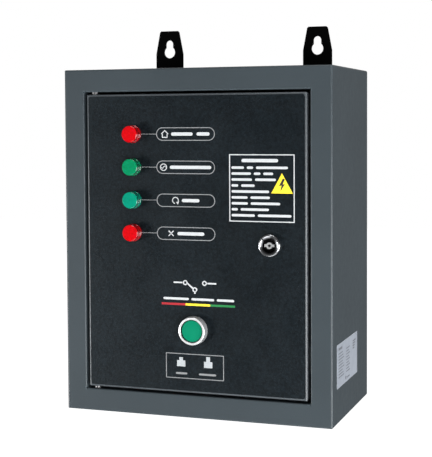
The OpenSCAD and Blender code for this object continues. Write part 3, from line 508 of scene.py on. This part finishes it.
def join_loops(bm, loops):
    """Joins loops of vertices one after another, and closes the first and the last."""
    for one, two in zip(loops, loops[1:]):
        for k in range(len(one)):
            j = (k + 1) % len(one)
            bm.faces.new((one[k], one[j], two[j], two[k]))
    bm.faces.new(loops[0][::-1])
    bm.faces.new(loops[-1])


def rectangle(x0, x1, z0, z1):
    return [(x0, z0), (x1, z0), (x1, z1), (x0, z1)]


def on_circle(x, z, radius, angle):
    return x + radius * math.cos(angle), z + radius * math.sin(angle)


def rounded(x0, x1, z0, z1, radius, steps=8):
    """A rectangle's outline with round corners."""
    points = []
    for cx, cz, start in ((x1 - radius, z1 - radius, 0), (x0 + radius, z1 - radius, 90),
                          (x0 + radius, z0 + radius, 180), (x1 - radius, z0 + radius, 270)):
        for k in range(steps + 1):
            points.append(on_circle(cx, cz, radius, math.radians(start + 90 * k / steps)))
    return points


def circle(x, z, radius, steps=28):
    return [on_circle(x, z, radius, 2 * math.pi * k / steps) for k in range(steps)]


def turned(bm, profile, place, steps=20, hollow=False):
    """A body turned about an axis, from (radius, height) points, put in place by a function."""
    rings = []
    for radius, h in profile:
        ring = circle(0, 0, radius, steps) if radius else [(0, 0)]
        rings.append([bm.verts.new(place(u, v, h)) for u, v in ring])
    pairs = list(zip(rings, rings[1:]))
    if hollow:
        pairs.append((rings[-1], rings[0]))
    for one, two in pairs:
        for k in range(steps):
            j = (k + 1) % steps
            corners = (one[k % len(one)], one[j % len(one)], two[j % len(two)], two[k % len(two)])
            bm.faces.new(list(dict.fromkeys(corners)))


def along_y(x, y, z):
    return lambda u, v, h: (x + u, y + h, z + v)


def along_z(x, y, z):
    return lambda u, v, h: (x + u, y + v, z + h)


def smooth_route(points, steps):
    """A smooth curve through points, with so many steps between each two."""
    ends = [2 * points[0] - points[1], *points, 2 * points[-1] - points[-2]]
    route = []
    for a, b, c, d in zip(ends, ends[1:], ends[2:], ends[3:]):
        for k in range(steps):
            t = k / steps
            route.append(0.5 * (2 * b + (c - a) * t + (2 * a - 5 * b + 4 * c - d) * t ** 2
                                + (3 * b - a - 3 * c + d) * t ** 3))
    return [*route, points[-1].copy()]


def tube(bm, route, radii, sides):
    """A closed tube along a route, with a radius for each of its points."""
    rings = []
    side = Vector((0.3, 0.5, 0.8))
    for i, (point, radius) in enumerate(zip(route, radii)):
        along = (route[min(i + 1, len(route) - 1)] - route[max(i - 1, 0)]).normalized()
        side = (side - along * side.dot(along)).normalized()
        up = along.cross(side)
        rings.append([bm.verts.new(point + radius * (u * side + v * up))
                      for u, v in circle(0, 0, 1, sides)])
    join_loops(bm, rings)


# ---------- print on the door and on the side label ----------

INK_THICK = 0.00008
PRINT_FRONT = FACE_Y - INK_THICK
BOTTOM_Z = SHELL_LOW.z       # the print's heights are measured from the bottom of the box
FRAME_STROKE = 0.0008
FINE_STROKE = 0.0004


def ink_prism(bm, outline, face=FACE_Y):
    prism(bm, outline, face - INK_THICK, face)


def ink_frame(bm, x0, x1, z0, z1, stroke, radius=0.0):
    """A printed frame, square or with round corners."""
    if radius:
        outer = rounded(x0, x1, z0, z1, radius)
        inner = rounded(x0 + stroke, x1 - stroke, z0 + stroke, z1 - stroke, radius - stroke)
    else:
        outer = rectangle(x0, x1, z0, z1)
        inner = rectangle(x0 + stroke, x1 - stroke, z0 + stroke, z1 - stroke)
    ring_prism(bm, outer, inner, PRINT_FRONT, FACE_Y)


def ink_disc_ring(bm, x, z, radius, stroke):
    ring_prism(bm, circle(x, z, radius), circle(x, z, radius - stroke), PRINT_FRONT, FACE_Y)


def ink_stroke(bm, points, width, face=FACE_Y):
    """A printed line through points in X and Z, as one closed ribbon with mitred joints."""
    line = [Vector(p) for p in points]
    steps = [(b - a).normalized() for a, b in zip(line, line[1:])]
    top = face - INK_THICK
    loops = []
    for i, point in enumerate(line):
        before, after = steps[max(i - 1, 0)], steps[min(i, len(steps) - 1)]
        across = Vector((-before.y - after.y, before.x + after.x)).normalized()
        reach = width / 2 / max(0.5, across.dot(Vector((-after.y, after.x))))
        one, two = point + across * reach, point - across * reach
        loops.append([bm.verts.new((p.x, y, p.y)) for p, y in
                      ((one, top), (one, face), (two, face), (two, top))])
    join_loops(bm, loops)


WORD_GAP = 0.9               # in letters


def word_bars(bm, x0, x1, z0, z1, words, face=FACE_Y):
    """A line of text as plain bars, one for each word, wide in proportion to its letters."""
    letter = (x1 - x0) / (sum(words) + WORD_GAP * (len(words) - 1))
    x = x0
    for count in words:
        width = letter * count
        ink_prism(bm, rounded(x, x + width, z0, z1, (z1 - z0) * 0.49, 5), face)
        x += width + letter * WORD_GAP


def house_picture(bm, x, z, w):
    ink_stroke(bm, [(x - 0.0038, z), (x, z + 0.0036), (x + 0.0038, z)], w)
    ink_stroke(bm, [(x - 0.0026, z), (x - 0.0026, z - 0.0034), (x + 0.0026, z - 0.0034),
                    (x + 0.0026, z)], w)


def generator_picture(bm, x, z, w):
    ink_disc_ring(bm, x, z, 0.0038, w)
    wave = [(x + 0.0022 * k / 4, z + 0.0012 * math.sin(math.pi * k / 4)) for k in range(-4, 5)]
    ink_stroke(bm, wave, w * 0.8)


def cycle_picture(bm, x, z, w):
    arc = [on_circle(x, z, 0.0032, math.radians(a)) for a in range(-40, 261, 20)]
    ink_stroke(bm, arc, w)
    tip_x, tip_z = arc[0]
    ink_prism(bm, [(tip_x - 0.0018, tip_z + 0.0004), (tip_x + 0.0002, tip_z - 0.0022),
                   (tip_x + 0.0016, tip_z + 0.0010)])


def cross_picture(bm, x, z, w):
    for s in (-1, 1):
        ink_stroke(bm, [(x - 0.0027, z - 0.0027 * s), (x + 0.0027, z + 0.0027 * s)], w * 1.2)


def print_lamp_labels():
    """A rounded frame beside each lamp, joined to it by a line, with a picture and bars in it."""
    labels = ((house_picture, 0.0526, (5, 3)), (generator_picture, 0.0558, (9,)),
              (cycle_picture, 0.0300, (4,)), (cross_picture, 0.0400, (7,)))
    left, right, half = -0.0407, 0.0231, 0.0068
    link_half, picture_half, picture_stroke = 0.0003, 0.0038, 0.0009
    words_indent, words_half = 0.0108, 0.0017
    middle_x = (left + right) / 2
    frames, marks = bmesh.new(), bmesh.new()
    for lens, (picture, width, words) in zip(LAMPS, labels):
        z = middle(lens).z
        lens_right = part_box(lens)[1].x
        ink_frame(frames, left, right, z - half, z + half, FRAME_STROKE, half * 0.98)
        ink_prism(frames, rectangle(lens_right, left, z - link_half, z + link_half))
        start = middle_x - width / 2
        picture(marks, start + picture_half, z, picture_stroke)
        word_bars(marks, start + words_indent, middle_x + width / 2,
                  z - words_half, z + words_half, words)
    add_piece("lamp_label_frames", frames, "door", GREY_INK)
    add_piece("lamp_label_marks", marks, "door", WHITE_INK)


def print_warning_panel():
    """A framed notice: bars for its title and lines, and a yellow triangle with a zigzag."""
    x0, x1 = 0.0383, 0.1066
    top, bottom = BOTTOM_Z + 0.2721, BOTTOM_Z + 0.2042
    bm = bmesh.new()
    ink_frame(bm, x0, x1, bottom, top, 0.0010)
    word_bars(bm, 0.0514, 0.0896, top - 0.0080, top - 0.0046, (8,))
    rows = ((0.0591, (4, 2, 10)), (0.0438, (6, 2, 3)), (0.0466, (6, 6)),
            (0.0244, (2, 4)), (0.0396, (11,)), (0.0403, (5, 6)),
            (0.0510, (5, 9)), (0.0392, (2, 9)), (0.0626, (7, 10)))
    row_pitch, height, indent = 0.0060, 0.0025, 0.0024
    for i, (width, words) in enumerate(rows):
        z = top - 0.0122 - i * row_pitch
        word_bars(bm, x0 + indent, x0 + indent + width, z - height, z, words)
    add_piece("warning_panel_print", bm, "door", WHITE_INK)
    cx, low, half, tall = 0.0936, BOTTOM_Z + 0.2332, 0.0112, 0.0200
    triangle = bmesh.new()
    ink_prism(triangle, [(cx - half, low), (cx + half, low), (cx, low + tall)])
    add_piece("warning_triangle", triangle, "door", YELLOW_INK)
    bolt = bmesh.new()
    shape = [(0.0010, 0.0150), (-0.0032, 0.0074), (-0.0004, 0.0080), (-0.0018, 0.0020),
             (0.0032, 0.0094), (0.0006, 0.0090), (0.0030, 0.0140)]
    prism(bolt, [(cx + x, low + z) for x, z in shape], PRINT_FRONT - INK_THICK, PRINT_FRONT)
    add_piece("warning_zigzag", bolt, "door", DARK_INK)


def print_title():
    """A large changeover symbol, bars below it and a three-coloured line."""
    bm = bmesh.new()
    x, w, eye = 0.0006, 0.0016, 0.0026
    eye_stroke = w * 0.75
    high, low = BOTTOM_Z + 0.1402, BOTTOM_Z + 0.1332
    for s in (-1, 1):
        ink_disc_ring(bm, x + s * 0.0105, high, eye, eye_stroke)
        ink_stroke(bm, [(x + s * 0.0136, high), (x + s * 0.0232, high)], w)
    ink_disc_ring(bm, x, low, eye, eye_stroke)
    ink_stroke(bm, [(x - 0.0022, low + 0.0014), (x - 0.0082, high - 0.0006)], w)
    ink_stroke(bm, [(x, low - eye), (x, low - 0.0042)], w)
    word_bars(bm, -0.0340, 0.0430, BOTTOM_Z + 0.1222, BOTTOM_Z + 0.1246, (9, 8, 6))
    add_piece("title_print", bm, "door", WHITE_INK)
    ends = (-0.0360, -0.0096, 0.0172, 0.0438)
    for name, x0, x1, material in zip(("red", "yellow", "green"), ends, ends[1:],
                                      (RED_INK, YELLOW_INK, GREEN_INK)):
        line = bmesh.new()
        ink_prism(line, rectangle(x0, x1, BOTTOM_Z + 0.1167, BOTTOM_Z + 0.1189))
        add_piece(f"title_line_{name}", line, "door", material)


def print_mode_panel():
    """Framed pictures of the mode button, pushed in at the left and out at the right."""
    z = BOTTOM_Z
    bm = bmesh.new()
    ink_frame(bm, -0.0317, 0.0316, z + 0.0408, z + 0.0669, FRAME_STROKE)
    word_bars(bm, -0.0208, -0.0083, z + 0.0452, z + 0.0472, (4,))
    word_bars(bm, 0.0046, 0.0232, z + 0.0452, z + 0.0472, (6,))
    add_piece("mode_panel_print", bm, "door", GREY_INK)
    icons = bmesh.new()
    for cx, stem_high in ((-0.0149, 0.0628), (0.0146, 0.0646)):
        ink_prism(icons, rectangle(cx - 0.0045, cx + 0.0045, z + 0.0533, z + 0.0596))
        ink_prism(icons, rectangle(cx - 0.0020, cx + 0.0020, z + 0.0596, z + stem_high))
    add_piece("mode_panel_icons", icons, "door", PALE_INK)


def print_rating_label():
    """The side label's blank rows: short bars in three columns, and two more below them."""
    low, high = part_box("rating_label")
    bm = bmesh.new()

    def bar(y0, y1, z, height):
        outline = rectangle(low.y + y0, low.y + y1, z, z + height)
        prism(bm, outline, high.x, high.x + INK_THICK, facing_right)

    bar(0.006, 0.022, high.z - 0.0065, 0.0025)
    for i in range(9):
        z = high.z - 0.0105 - i * 0.0030
        bar(0.006, 0.024 + 0.003 * (i % 3), z, 0.0010)
        bar(0.040, 0.052 + 0.004 * ((i + 1) % 2), z, 0.0010)
    for i in range(4):
        bar(0.070, 0.083 - 0.002 * i, high.z - 0.0080 - i * 0.0026, 0.0014)
    bar(0.036, 0.040, low.z + 0.0030, 0.0032)
    bar(0.043, 0.055, low.z + 0.0034, 0.0012)
    add_piece("rating_label_print", bm, "enclosure", LABEL_INK)


# ---------- small fittings inside the box ----------

SCREW_SLOT = 0.0009
LABEL_THICK = 0.0004


def label_plate(bm, x, z, width, height, back, thick, radius=0.0008):
    """A flat plate with round corners, standing out from a face."""
    prism(bm, rounded(x - width / 2, x + width / 2, z - height / 2, z + height / 2, radius, 4),
          back - thick, back)


def slotted_head(bm, x, z, top, radius, height):
    """A round screw head whose slot is open, its top facing the inside of the box."""
    foot, base = top - height, top - height * 0.5
    turned(bm, [(0, foot), (radius, foot), (radius, base), (0, base)], along_y(x, 0, z))
    half = math.asin(SCREW_SLOT / 2 / radius)
    for turn in (0, math.pi):
        arc = [half + (math.pi - 2 * half) * k / 10 + turn for k in range(11)]
        prism(bm, [on_circle(x, z, radius, a) for a in arc], base, top)


def dress_contactors():
    """Label, ribs and window frame on each contactor's cover, and a mark on its carriage."""
    for side in ("house", "generator"):
        cover = middle(f"{side}_contactor_cover")
        x, z = cover.x, cover.z
        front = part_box(f"{side}_contactor_cover")[0].y
        face = front - LABEL_THICK
        label = bmesh.new()
        label_plate(label, x, z + 0.0120, 0.0330, 0.0088, front, LABEL_THICK)
        add_piece(f"{side}_contactor_label", label, "enclosure", WHITE_PLASTIC)
        marks = bmesh.new()
        word_bars(marks, x - 0.0142, x + 0.0030, z + 0.0126, z + 0.0142, (6, 4), face)
        word_bars(marks, x - 0.0142, x - 0.0020, z + 0.0098, z + 0.0110, (3, 5), face)
        for pole in (x + 0.0070, x + 0.0100, x + 0.0130):
            ink_stroke(marks, [(pole, z + 0.0148), (pole, z + 0.0126), (pole + 0.0012, z + 0.0112),
                               (pole, z + 0.0092)], FINE_STROKE, face)
        add_piece(f"{side}_contactor_label_print", marks, "enclosure", DARK_INK)
        ribs = bmesh.new()
        for k in range(4):
            label_plate(ribs, x, z - 0.0090 - 0.0024 * k, 0.0300, 0.0011, front, 0.0006, 0.0005)
        add_piece(f"{side}_contactor_ribs", ribs, "enclosure", DARK_PLASTIC)
        rim = bmesh.new()
        outer = rounded(x - 0.0085, x + 0.0085, z - 0.0062, z + 0.0062, 0.0012)
        inner = rounded(x - 0.0064, x + 0.0064, z - 0.0044, z + 0.0044, 0.0002)
        ring_prism(rim, outer, inner, front - 0.0008, front)
        add_piece(f"{side}_contactor_window", rim, "enclosure", GREY_PLASTIC)
        carriage = middle(f"{side}_carriage")
        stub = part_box(f"{side}_carriage")[0].y
        mark = bmesh.new()
        label_plate(mark, carriage.x, carriage.z, 0.0090, 0.0018, stub, 0.00015, 0.0006)
        add_piece(f"{side}_carriage_mark", mark, f"{side}_armature", RED_INK)


TERMINALS = 13
TERMINAL_WIDTH = 0.008
POWER_WAYS = 6
ENTRY_DEPTH = 0.021          # from the terminals' back to their wire entries
TAG_THICK = 0.0006
POWER_SLEEVE = ((0.00225, 0), (0.0034, 0), (0.0034, 0.0015), (0.0027, 0.0090), (0.00225, 0.0090))
CONTROL_SLEEVE = ((0.00105, 0), (0.0020, 0), (0.0020, -0.0012), (0.0015, -0.0070),
                  (0.00105, -0.0070))


def dress_terminals():
    """Marker tags on the terminals, and a sleeve where each wire goes in."""
    low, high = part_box("terminal_blocks")
    pitch = (high.x - low.x - TERMINAL_WIDTH) / (TERMINALS - 1)
    z, entry = (low.z + high.z) / 2, high.y - ENTRY_DEPTH
    tags, marks, thick, thin = (bmesh.new() for _ in range(4))
    for i in range(TERMINALS):
        x = low.x + TERMINAL_WIDTH / 2 + i * pitch
        label_plate(tags, x, z, 0.0060, 0.0058, low.y, TAG_THICK)
        label_plate(marks, x, z, 0.0008 + 0.0006 * (i % 4), 0.0022, low.y - TAG_THICK, INK_THICK,
                    0.0003)
        if i < POWER_WAYS:
            turned(thick, POWER_SLEEVE, along_z(x, entry, high.z), hollow=True)
        elif i < TERMINALS - 1:
            turned(thin, CONTROL_SLEEVE, along_z(x, entry, low.z), hollow=True)
    add_piece("terminal_tags", tags, "enclosure", WHITE_PLASTIC)
    add_piece("terminal_tag_marks", marks, "enclosure", DARK_INK)
    add_piece("power_wire_sleeves", thick, "enclosure", BLUE_PLASTIC, smooth=True)
    add_piece("control_wire_sleeves", thin, "enclosure", WIRE_RED, smooth=True)


LOOM_WIDTH = 0.0162          # of the control wires
LOOM_RADIUS = 0.0045         # of the door's wires


def dress_looms():
    """Ties round the ribbon of control wires, and a spiral wrap on the door's loom."""
    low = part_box("control_wires")[0]
    left, right = low.x, low.x + LOOM_WIDTH
    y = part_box("terminal_blocks")[1].y - ENTRY_DEPTH
    ties = bmesh.new()
    for height in (0.045, 0.095, 0.145):
        z = height + low.z
        outer = rounded(left - 0.0011, right + 0.0011, y - 0.0023, y + 0.0023, 0.0021, 6)
        inner = rounded(left - 0.0001, right + 0.0001, y - 0.0012, y + 0.0012, 0.0011, 6)
        ring_prism(ties, outer, inner, z, z + 0.0035, facing_up)
        head = rounded(right + 0.0007, right + 0.0043, y - 0.0024, y + 0.0020, 0.0007, 3)
        prism(ties, head, z - 0.0006, z + 0.0041, facing_up)
    add_piece("control_loom_ties", ties, "enclosure", NYLON)
    low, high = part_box("door_wires")
    x, y, inside, outside = low.x + LOOM_RADIUS, low.y + LOOM_RADIUS, 0.0044, 0.0052
    wrap = bmesh.new()
    rings = []
    turn_steps, pitch, width = 18, 0.0085, 0.0062
    section = ((inside, 0), (outside, 0.0004), (outside, width - 0.0004), (inside, width))
    for i in range(int((high.z - low.z - 0.012) / pitch * turn_steps)):
        a = 2 * math.pi * i / turn_steps
        z = low.z + 0.005 + pitch * i / turn_steps
        rings.append([wrap.verts.new((*on_circle(x, y, r, a), z + dz)) for r, dz in section])
    join_loops(wrap, rings)
    add_piece("door_loom_wrap", wrap, "door", NYLON)


def make_door_jumper():
    """The ribbed sleeve that takes the door's wires across the hinge, with slack to open it."""
    points = [at(*p) for p in (
        (-0.1225, 0.1175, 0.118), (-0.1245, 0.1168, 0.146), (-0.1330, 0.1080, 0.170),
        (-0.1365, 0.0900, 0.183), (-0.1370, 0.0650, 0.186), (-0.1365, 0.0480, 0.177),
        (-0.1350, 0.0430, 0.158), (-0.1275, 0.0405, 0.142), (-0.1140, 0.0375, 0.136),
        (-0.1015, 0.0330, 0.143), (-0.0945, 0.0290, 0.158), (-0.0925, 0.0265, 0.178))]
    route = smooth_route(points, 22)
    radii = [(0.0029, 0.0034, 0.0034, 0.0029)[i % 4] for i in range(len(route))]
    sleeve = bmesh.new()
    tube(sleeve, route, radii, 14)
    jumper = add_piece("door_jumper_sleeve", sleeve, None, NYLON, smooth=True)
    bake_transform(jumper)
    clip = bmesh.new()
    x, y, z = points[4]
    ring_prism(clip, circle(x, z, 0.0048), circle(x, z, 0.0035), y - 0.004, y + 0.004)
    foot = rounded(SHELL_LOW.x + 0.0015, x - 0.0036, z - 0.0070, z + 0.0070, 0.0008, 3)
    prism(clip, foot, y - 0.006, y + 0.006)
    add_piece("jumper_clip", clip, "enclosure", NYLON)
    tie = bmesh.new()
    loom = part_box("door_wires")[0]
    x, y, z = loom.x + LOOM_RADIUS, loom.y + LOOM_RADIUS, points[-1].z
    ring_prism(tie, circle(x, y, 0.0066), circle(x, y, 0.0053), z - 0.0020, z + 0.0020, facing_up)
    head = rounded(x + 0.0060, x + 0.0100, y - 0.0022, y + 0.0022, 0.0007, 3)
    prism(tie, head, z - 0.0026, z + 0.0026, facing_up)
    add_piece("jumper_tie", tie, "door", NYLON)


def dress_module():
    """A printed face in the control module's recess, with lamps, and dials whose trimmer slots are
    dark bars of painted shade.
    """
    low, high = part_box("control_module")
    x, z = (low.x + high.x) / 2, (low.z + high.z) / 2 + 0.008
    floor = low.y + 0.0010
    face = floor - LABEL_THICK
    sheet = bmesh.new()
    label_plate(sheet, x, z, 0.0780, 0.0420, floor, LABEL_THICK, 0.0015)
    add_piece("module_face", sheet, "enclosure", GREY_PLASTIC)
    marks = bmesh.new()
    radius = 0.0016
    dome = [on_circle(0, 0, 1, math.radians(a)) for a in (0, 20, 40, 60, 75)]
    profile = [(0, 0), (radius, 0), *((radius * u, -0.0004 - 0.0013 * v) for u, v in dome),
               (0, -0.0017)]
    lamps = ((LENS_GREEN, "lens_green"), (LENS_GREEN, "lens_green"),
             (LENS_TEAL, "lens_teal"), (LENS_RED, "lens_red"))
    for k, (material, slot) in enumerate(lamps):
        cx, cz = x - 0.0300 + 0.0130 * k, z + 0.0140
        lamp = bmesh.new()
        turned(lamp, profile, along_y(cx, face, cz), 16)
        add_piece(f"module_lamp_{k + 1}", lamp, "enclosure", material, smooth=True)
        word_bars(marks, cx - 0.0040, cx + 0.0040, cz - 0.0052, cz - 0.0040, (4,), face)
    word_bars(marks, x + 0.0160, x + 0.0350, z + 0.0130, z + 0.0155, (7,), face)
    dials, slots = bmesh.new(), bmesh.new()
    dial = [(0, 0), (0.0042, 0), (0.0042, -0.0007), (0.0038, -0.0011), (0, -0.0011)]
    slot_tip, slot_tail, slot_half = 0.0034, -0.0022, 0.0006
    for k, turn in enumerate((-50, 15, 70)):
        cx, cz = x - 0.0250 + 0.0250 * k, z - 0.0050
        turned(dials, dial, along_y(cx, face, cz), 24)
        a = math.radians(turn)
        along, across = Vector((math.sin(a), math.cos(a))), Vector((math.cos(a), -math.sin(a)))
        corners = [along * slot_tip - across * slot_half, along * slot_tip + across * slot_half,
                   along * slot_tail + across * slot_half, along * slot_tail - across * slot_half]
        # each trimmer slot is a thin dark bar on the dial's top: painted shade where the slot
        # would be
        prism(slots, [(cx + c.x, cz + c.y) for c in corners], face - 0.00118, face - 0.0010)
        for tick in range(-135, 136, 30):
            ends = [on_circle(cx, cz, r, math.radians(90 - tick)) for r in (0.0052, 0.0066)]
            ink_stroke(marks, ends, FINE_STROKE, face)
        word_bars(marks, cx - 0.0050, cx + 0.0050, cz - 0.0105, cz - 0.0092, (5,), face)
    add_piece("module_dials", dials, "enclosure", WHITE_PLASTIC)
    add_piece("module_dial_slot_shade", slots, "enclosure", DARK_INK)
    add_piece("module_face_print", marks, "enclosure", WHITE_INK)


def dress_relay():
    """Inside the relay's clear cover: a wound coil on its bobbin, a yoke and contact leaves."""
    low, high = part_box("relay")
    x, z = (low.x + high.x) / 2, (low.z + high.z) / 2
    y = low.y + 0.0150
    bobbin = bmesh.new()
    flange, thick = 0.0082, 0.0012
    for foot in (-0.0135, 0.0015):
        turned(bobbin, [(0, foot), (flange, foot), (flange, foot + thick), (0, foot + thick)],
               along_z(x, y, z), 24)
    add_piece("relay_bobbin", bobbin, "enclosure", WHITE_PLASTIC)
    coil = bmesh.new()
    wire_pitch, wire_bulge = 0.0005, 0.0003
    winding = [(0.0068 + wire_bulge * (k % 2), -0.0120 + wire_pitch * k) for k in range(27)]
    turned(coil, [(0, -0.0122), *winding, (0, 0.0013)], along_z(x, y, z), 24)
    add_piece("relay_coil", coil, "enclosure", COPPER, smooth=True)
    yoke = bmesh.new()
    prism(yoke, rectangle(x - 0.0085, x + 0.0085, z + 0.0032, z + 0.0046), y - 0.0095, y + 0.0105)
    prism(yoke, rectangle(x - 0.0085, x + 0.0085, z - 0.0150, z + 0.0032), y + 0.0090, y + 0.0105)
    add_piece("relay_yoke", yoke, "enclosure", ZINC)
    leaves = bmesh.new()
    for k in (-1, 0, 1):
        for depth in (-0.0060, -0.0020):
            label_plate(leaves, x + 0.0060 * k, z + 0.0105, 0.0036, 0.0090, y + depth, 0.0004,
                        0.0006)
    add_piece("relay_leaves", leaves, "enclosure", BRASS)


def dress_fuses():
    """A small label with a fuse sign on the front of each fuse carrier."""
    thick = 0.0003
    for side in ("left", "right"):
        low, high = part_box(f"fuse_carrier_{side}")
        x, z, front = (low.x + high.x) / 2, low.z + 0.0150, low.y + 0.0041
        body = f"{side}_fuse_carrier"
        label = bmesh.new()
        label_plate(label, x, z, 0.0098, 0.0130, front, thick)
        add_piece(f"fuse_label_{side}", label, body, WHITE_PLASTIC)
        sign = bmesh.new()
        face = front - thick
        outer = rectangle(x - 0.0012, x + 0.0012, z - 0.0032, z + 0.0032)
        inner = rectangle(x - 0.0008, x + 0.0008, z - 0.0028, z + 0.0028)
        ring_prism(sign, outer, inner, face - INK_THICK, face)
        for z0, z1 in ((z + 0.0032, z + 0.0054), (z - 0.0054, z - 0.0032)):
            ink_stroke(sign, [(x, z0), (x, z1)], FINE_STROKE, face)
        add_piece(f"fuse_label_{side}_sign", sign, body, DARK_INK)


def dress_button():
    """The slotted screws in the contact block's wells."""
    low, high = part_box("button_contact_block")
    x, z = (low.x + high.x) / 2, (low.z + high.z) / 2
    screws = bmesh.new()
    for sx in (-1, 1):
        for sz in (-1, 1):
            slotted_head(screws, x + sx * 0.008, z + sz * 0.014, high.y - 0.0060, 0.0027, 0.0022)
    add_piece("contact_block_screws", screws, "door", ZINC)


# ---------- softer edges on the moulded parts ----------

MOULDED = {                  # the width of each part's bevel
    "mode_button_cap": 0.0002,
    "house_contactor_base": 0.0005, "generator_contactor_base": 0.0005,
    "house_contactor_cover": 0.0006, "generator_contactor_cover": 0.0006,
    "interlock_block": 0.0006, "terminal_blocks": 0.00025,
    "terminal_end_stops": 0.0005, "fuse_bases": 0.0005, "fuse_carrier_left": 0.0004,
    "fuse_carrier_right": 0.0004, "relay_socket": 0.0005, "button_contact_block": 0.0005,
    "control_module_terminals": 0.0003, "lamp_nuts": 0.0003,
}
WIRES = ("house_wires", "generator_wires", "load_wires", "control_wires", "door_wires")
WELD_REACH = 0.000002
SHARP_ANGLE = 50             # degrees between faces, from which an edge is bevelled


def soften_edges():
    """Rounds the moulded parts' edges by modifiers, and shades them and the wires smooth."""
    for name in (*MOULDED, *WIRES):
        obj = NODES[name]
        mesh = obj.data
        if "custom_normal" in mesh.attributes:
            mesh.attributes.remove(mesh.attributes["custom_normal"])
        mesh.shade_smooth()
        weld = obj.modifiers.new("weld", "WELD")
        weld.merge_threshold = WELD_REACH
        if name in MOULDED:
            bevel = obj.modifiers.new("edges", "BEVEL")
            bevel.width = MOULDED[name]
            bevel.segments = 2
            bevel.limit_method = "ANGLE"
            bevel.angle_limit = math.radians(SHARP_ANGLE)
            normals = obj.modifiers.new("normals", "WEIGHTED_NORMAL")
            normals.keep_sharp = False


# ---------- stage ----------

ROOM_LIGHT = 0.15            # the world's strength as light
FLOOR_HALF = 30
FLOOR_DROP = 2.5             # below the hung box


def area_light(name, location, target, size, power):
    """A white rectangular lamp that looks at a point."""
    data = bpy.data.lights.new(name, "AREA")
    data.shape = "RECTANGLE"
    data.size, data.size_y = size
    data.energy = power
    obj = bpy.data.objects.new(name, data)
    obj.location = location
    obj.rotation_euler = (Vector(target) - Vector(location)).to_track_quat("-Z", "Y").to_euler()
    bpy.context.scene.collection.objects.link(obj)


def make_world():
    """White where the camera sees it, and a dimmer grey as light, as in a lit room."""
    world = bpy.data.worlds.new("soft_studio")
    world.use_nodes = True
    seen = add_node(world, "LightPath").outputs["Is Camera Ray"]
    strength = add_node(world, "MapRange")
    for name, value in (("To Min", ROOM_LIGHT), ("To Max", 1.0), ("Value", seen)):
        feed(world, strength.inputs[name], value)
    background = world.node_tree.nodes["Background"]
    feed(world, background.inputs["Color"], (1, 1, 1))
    feed(world, background.inputs["Strength"], strength.outputs["Result"])
    bpy.context.scene.world = world


def make_floor():
    """A pale floor well below the hung box, which sends no light back to it."""
    floor = bmesh.new()
    bmesh.ops.create_grid(floor, x_segments=1, y_segments=1, size=FLOOR_HALF)
    mesh = bpy.data.meshes.new("floor")
    floor.to_mesh(mesh)
    floor.free()
    obj = bpy.data.objects.new("floor", mesh)
    obj.location = (0, 0, cad_low.z - FLOOR_DROP)
    obj.visible_glossy = False
    obj.visible_diffuse = False
    material = new_material("pale_floor")
    set_shader(material, Base_Color=cloudy(material, 3, 3, [(0.3, 0.90), (0.7, 0.94)]),
               Roughness=0.9, Emission_Color=(1, 1, 1), Emission_Strength=0.95)
    mesh.materials.append(material)
    bpy.context.scene.collection.objects.link(obj)


def make_lights():
    area_light("key_left", (-3.80, -3.15, -1.15), (0, -0.16, -0.2), (1.5, 1.7), 160)
    area_light("front_right", (1.50, -1.90, -0.85), (0, -0.16, -0.2), (2.6, 1.3), 74)
    area_light("edge_right", (1.90, -0.62, -0.62), (0.1, -0.1, -0.2), (1.1, 1.1), 25)
    area_light("low_front", (0.2, -1.15, -1.55), (0, -0.1, -0.3), (1.6, 0.7), 10)
    area_light("top", (0.1, -0.5, 1.5), (0, -0.1, 0), (1.0, 0.6), 11)
    for s in (-1, 1):
        area_light(f"back_{s + 1}", (s * 1.9, 2.3, 1.7), (0, 0, -0.2), (1.2, 1.2), 26)


CAMERA_AT = Vector((0.4235, -1.3022, -0.0827))
CAMERA_YAW = 19.315          # degrees to the left of +Y
CAMERA_PITCH = 2.724         # degrees downwards
CAMERA_ROLL = -0.311
CAMERA_LENS = 94.08
CAMERA_RISE = -0.106         # vertical shift, in parts of the picture's longer side


def make_camera():
    data = bpy.data.cameras.new("camera")
    data.lens = CAMERA_LENS
    data.sensor_width = 36
    data.shift_y = CAMERA_RISE
    obj = bpy.data.objects.new("camera", data)
    turn = Matrix.Rotation(math.radians(CAMERA_YAW), 4, "Z")
    tilt = Matrix.Rotation(math.radians(90 - CAMERA_PITCH), 4, "X")
    roll = Matrix.Rotation(math.radians(CAMERA_ROLL), 4, "Z")
    obj.matrix_world = Matrix.Translation(CAMERA_AT) @ turn @ tilt @ roll
    bpy.context.scene.collection.objects.link(obj)
    bpy.context.scene.camera = obj


bpy.context.scene.view_settings.view_transform = "Standard"
make_camera()
make_world()
make_floor()
make_lights()
paint_nodes()
print_lamp_labels()
print_warning_panel()
print_title()
print_mode_panel()
print_rating_label()
dress_contactors()
dress_terminals()
dress_looms()
make_door_jumper()
dress_module()
dress_relay()
dress_fuses()
dress_button()
soften_edges()
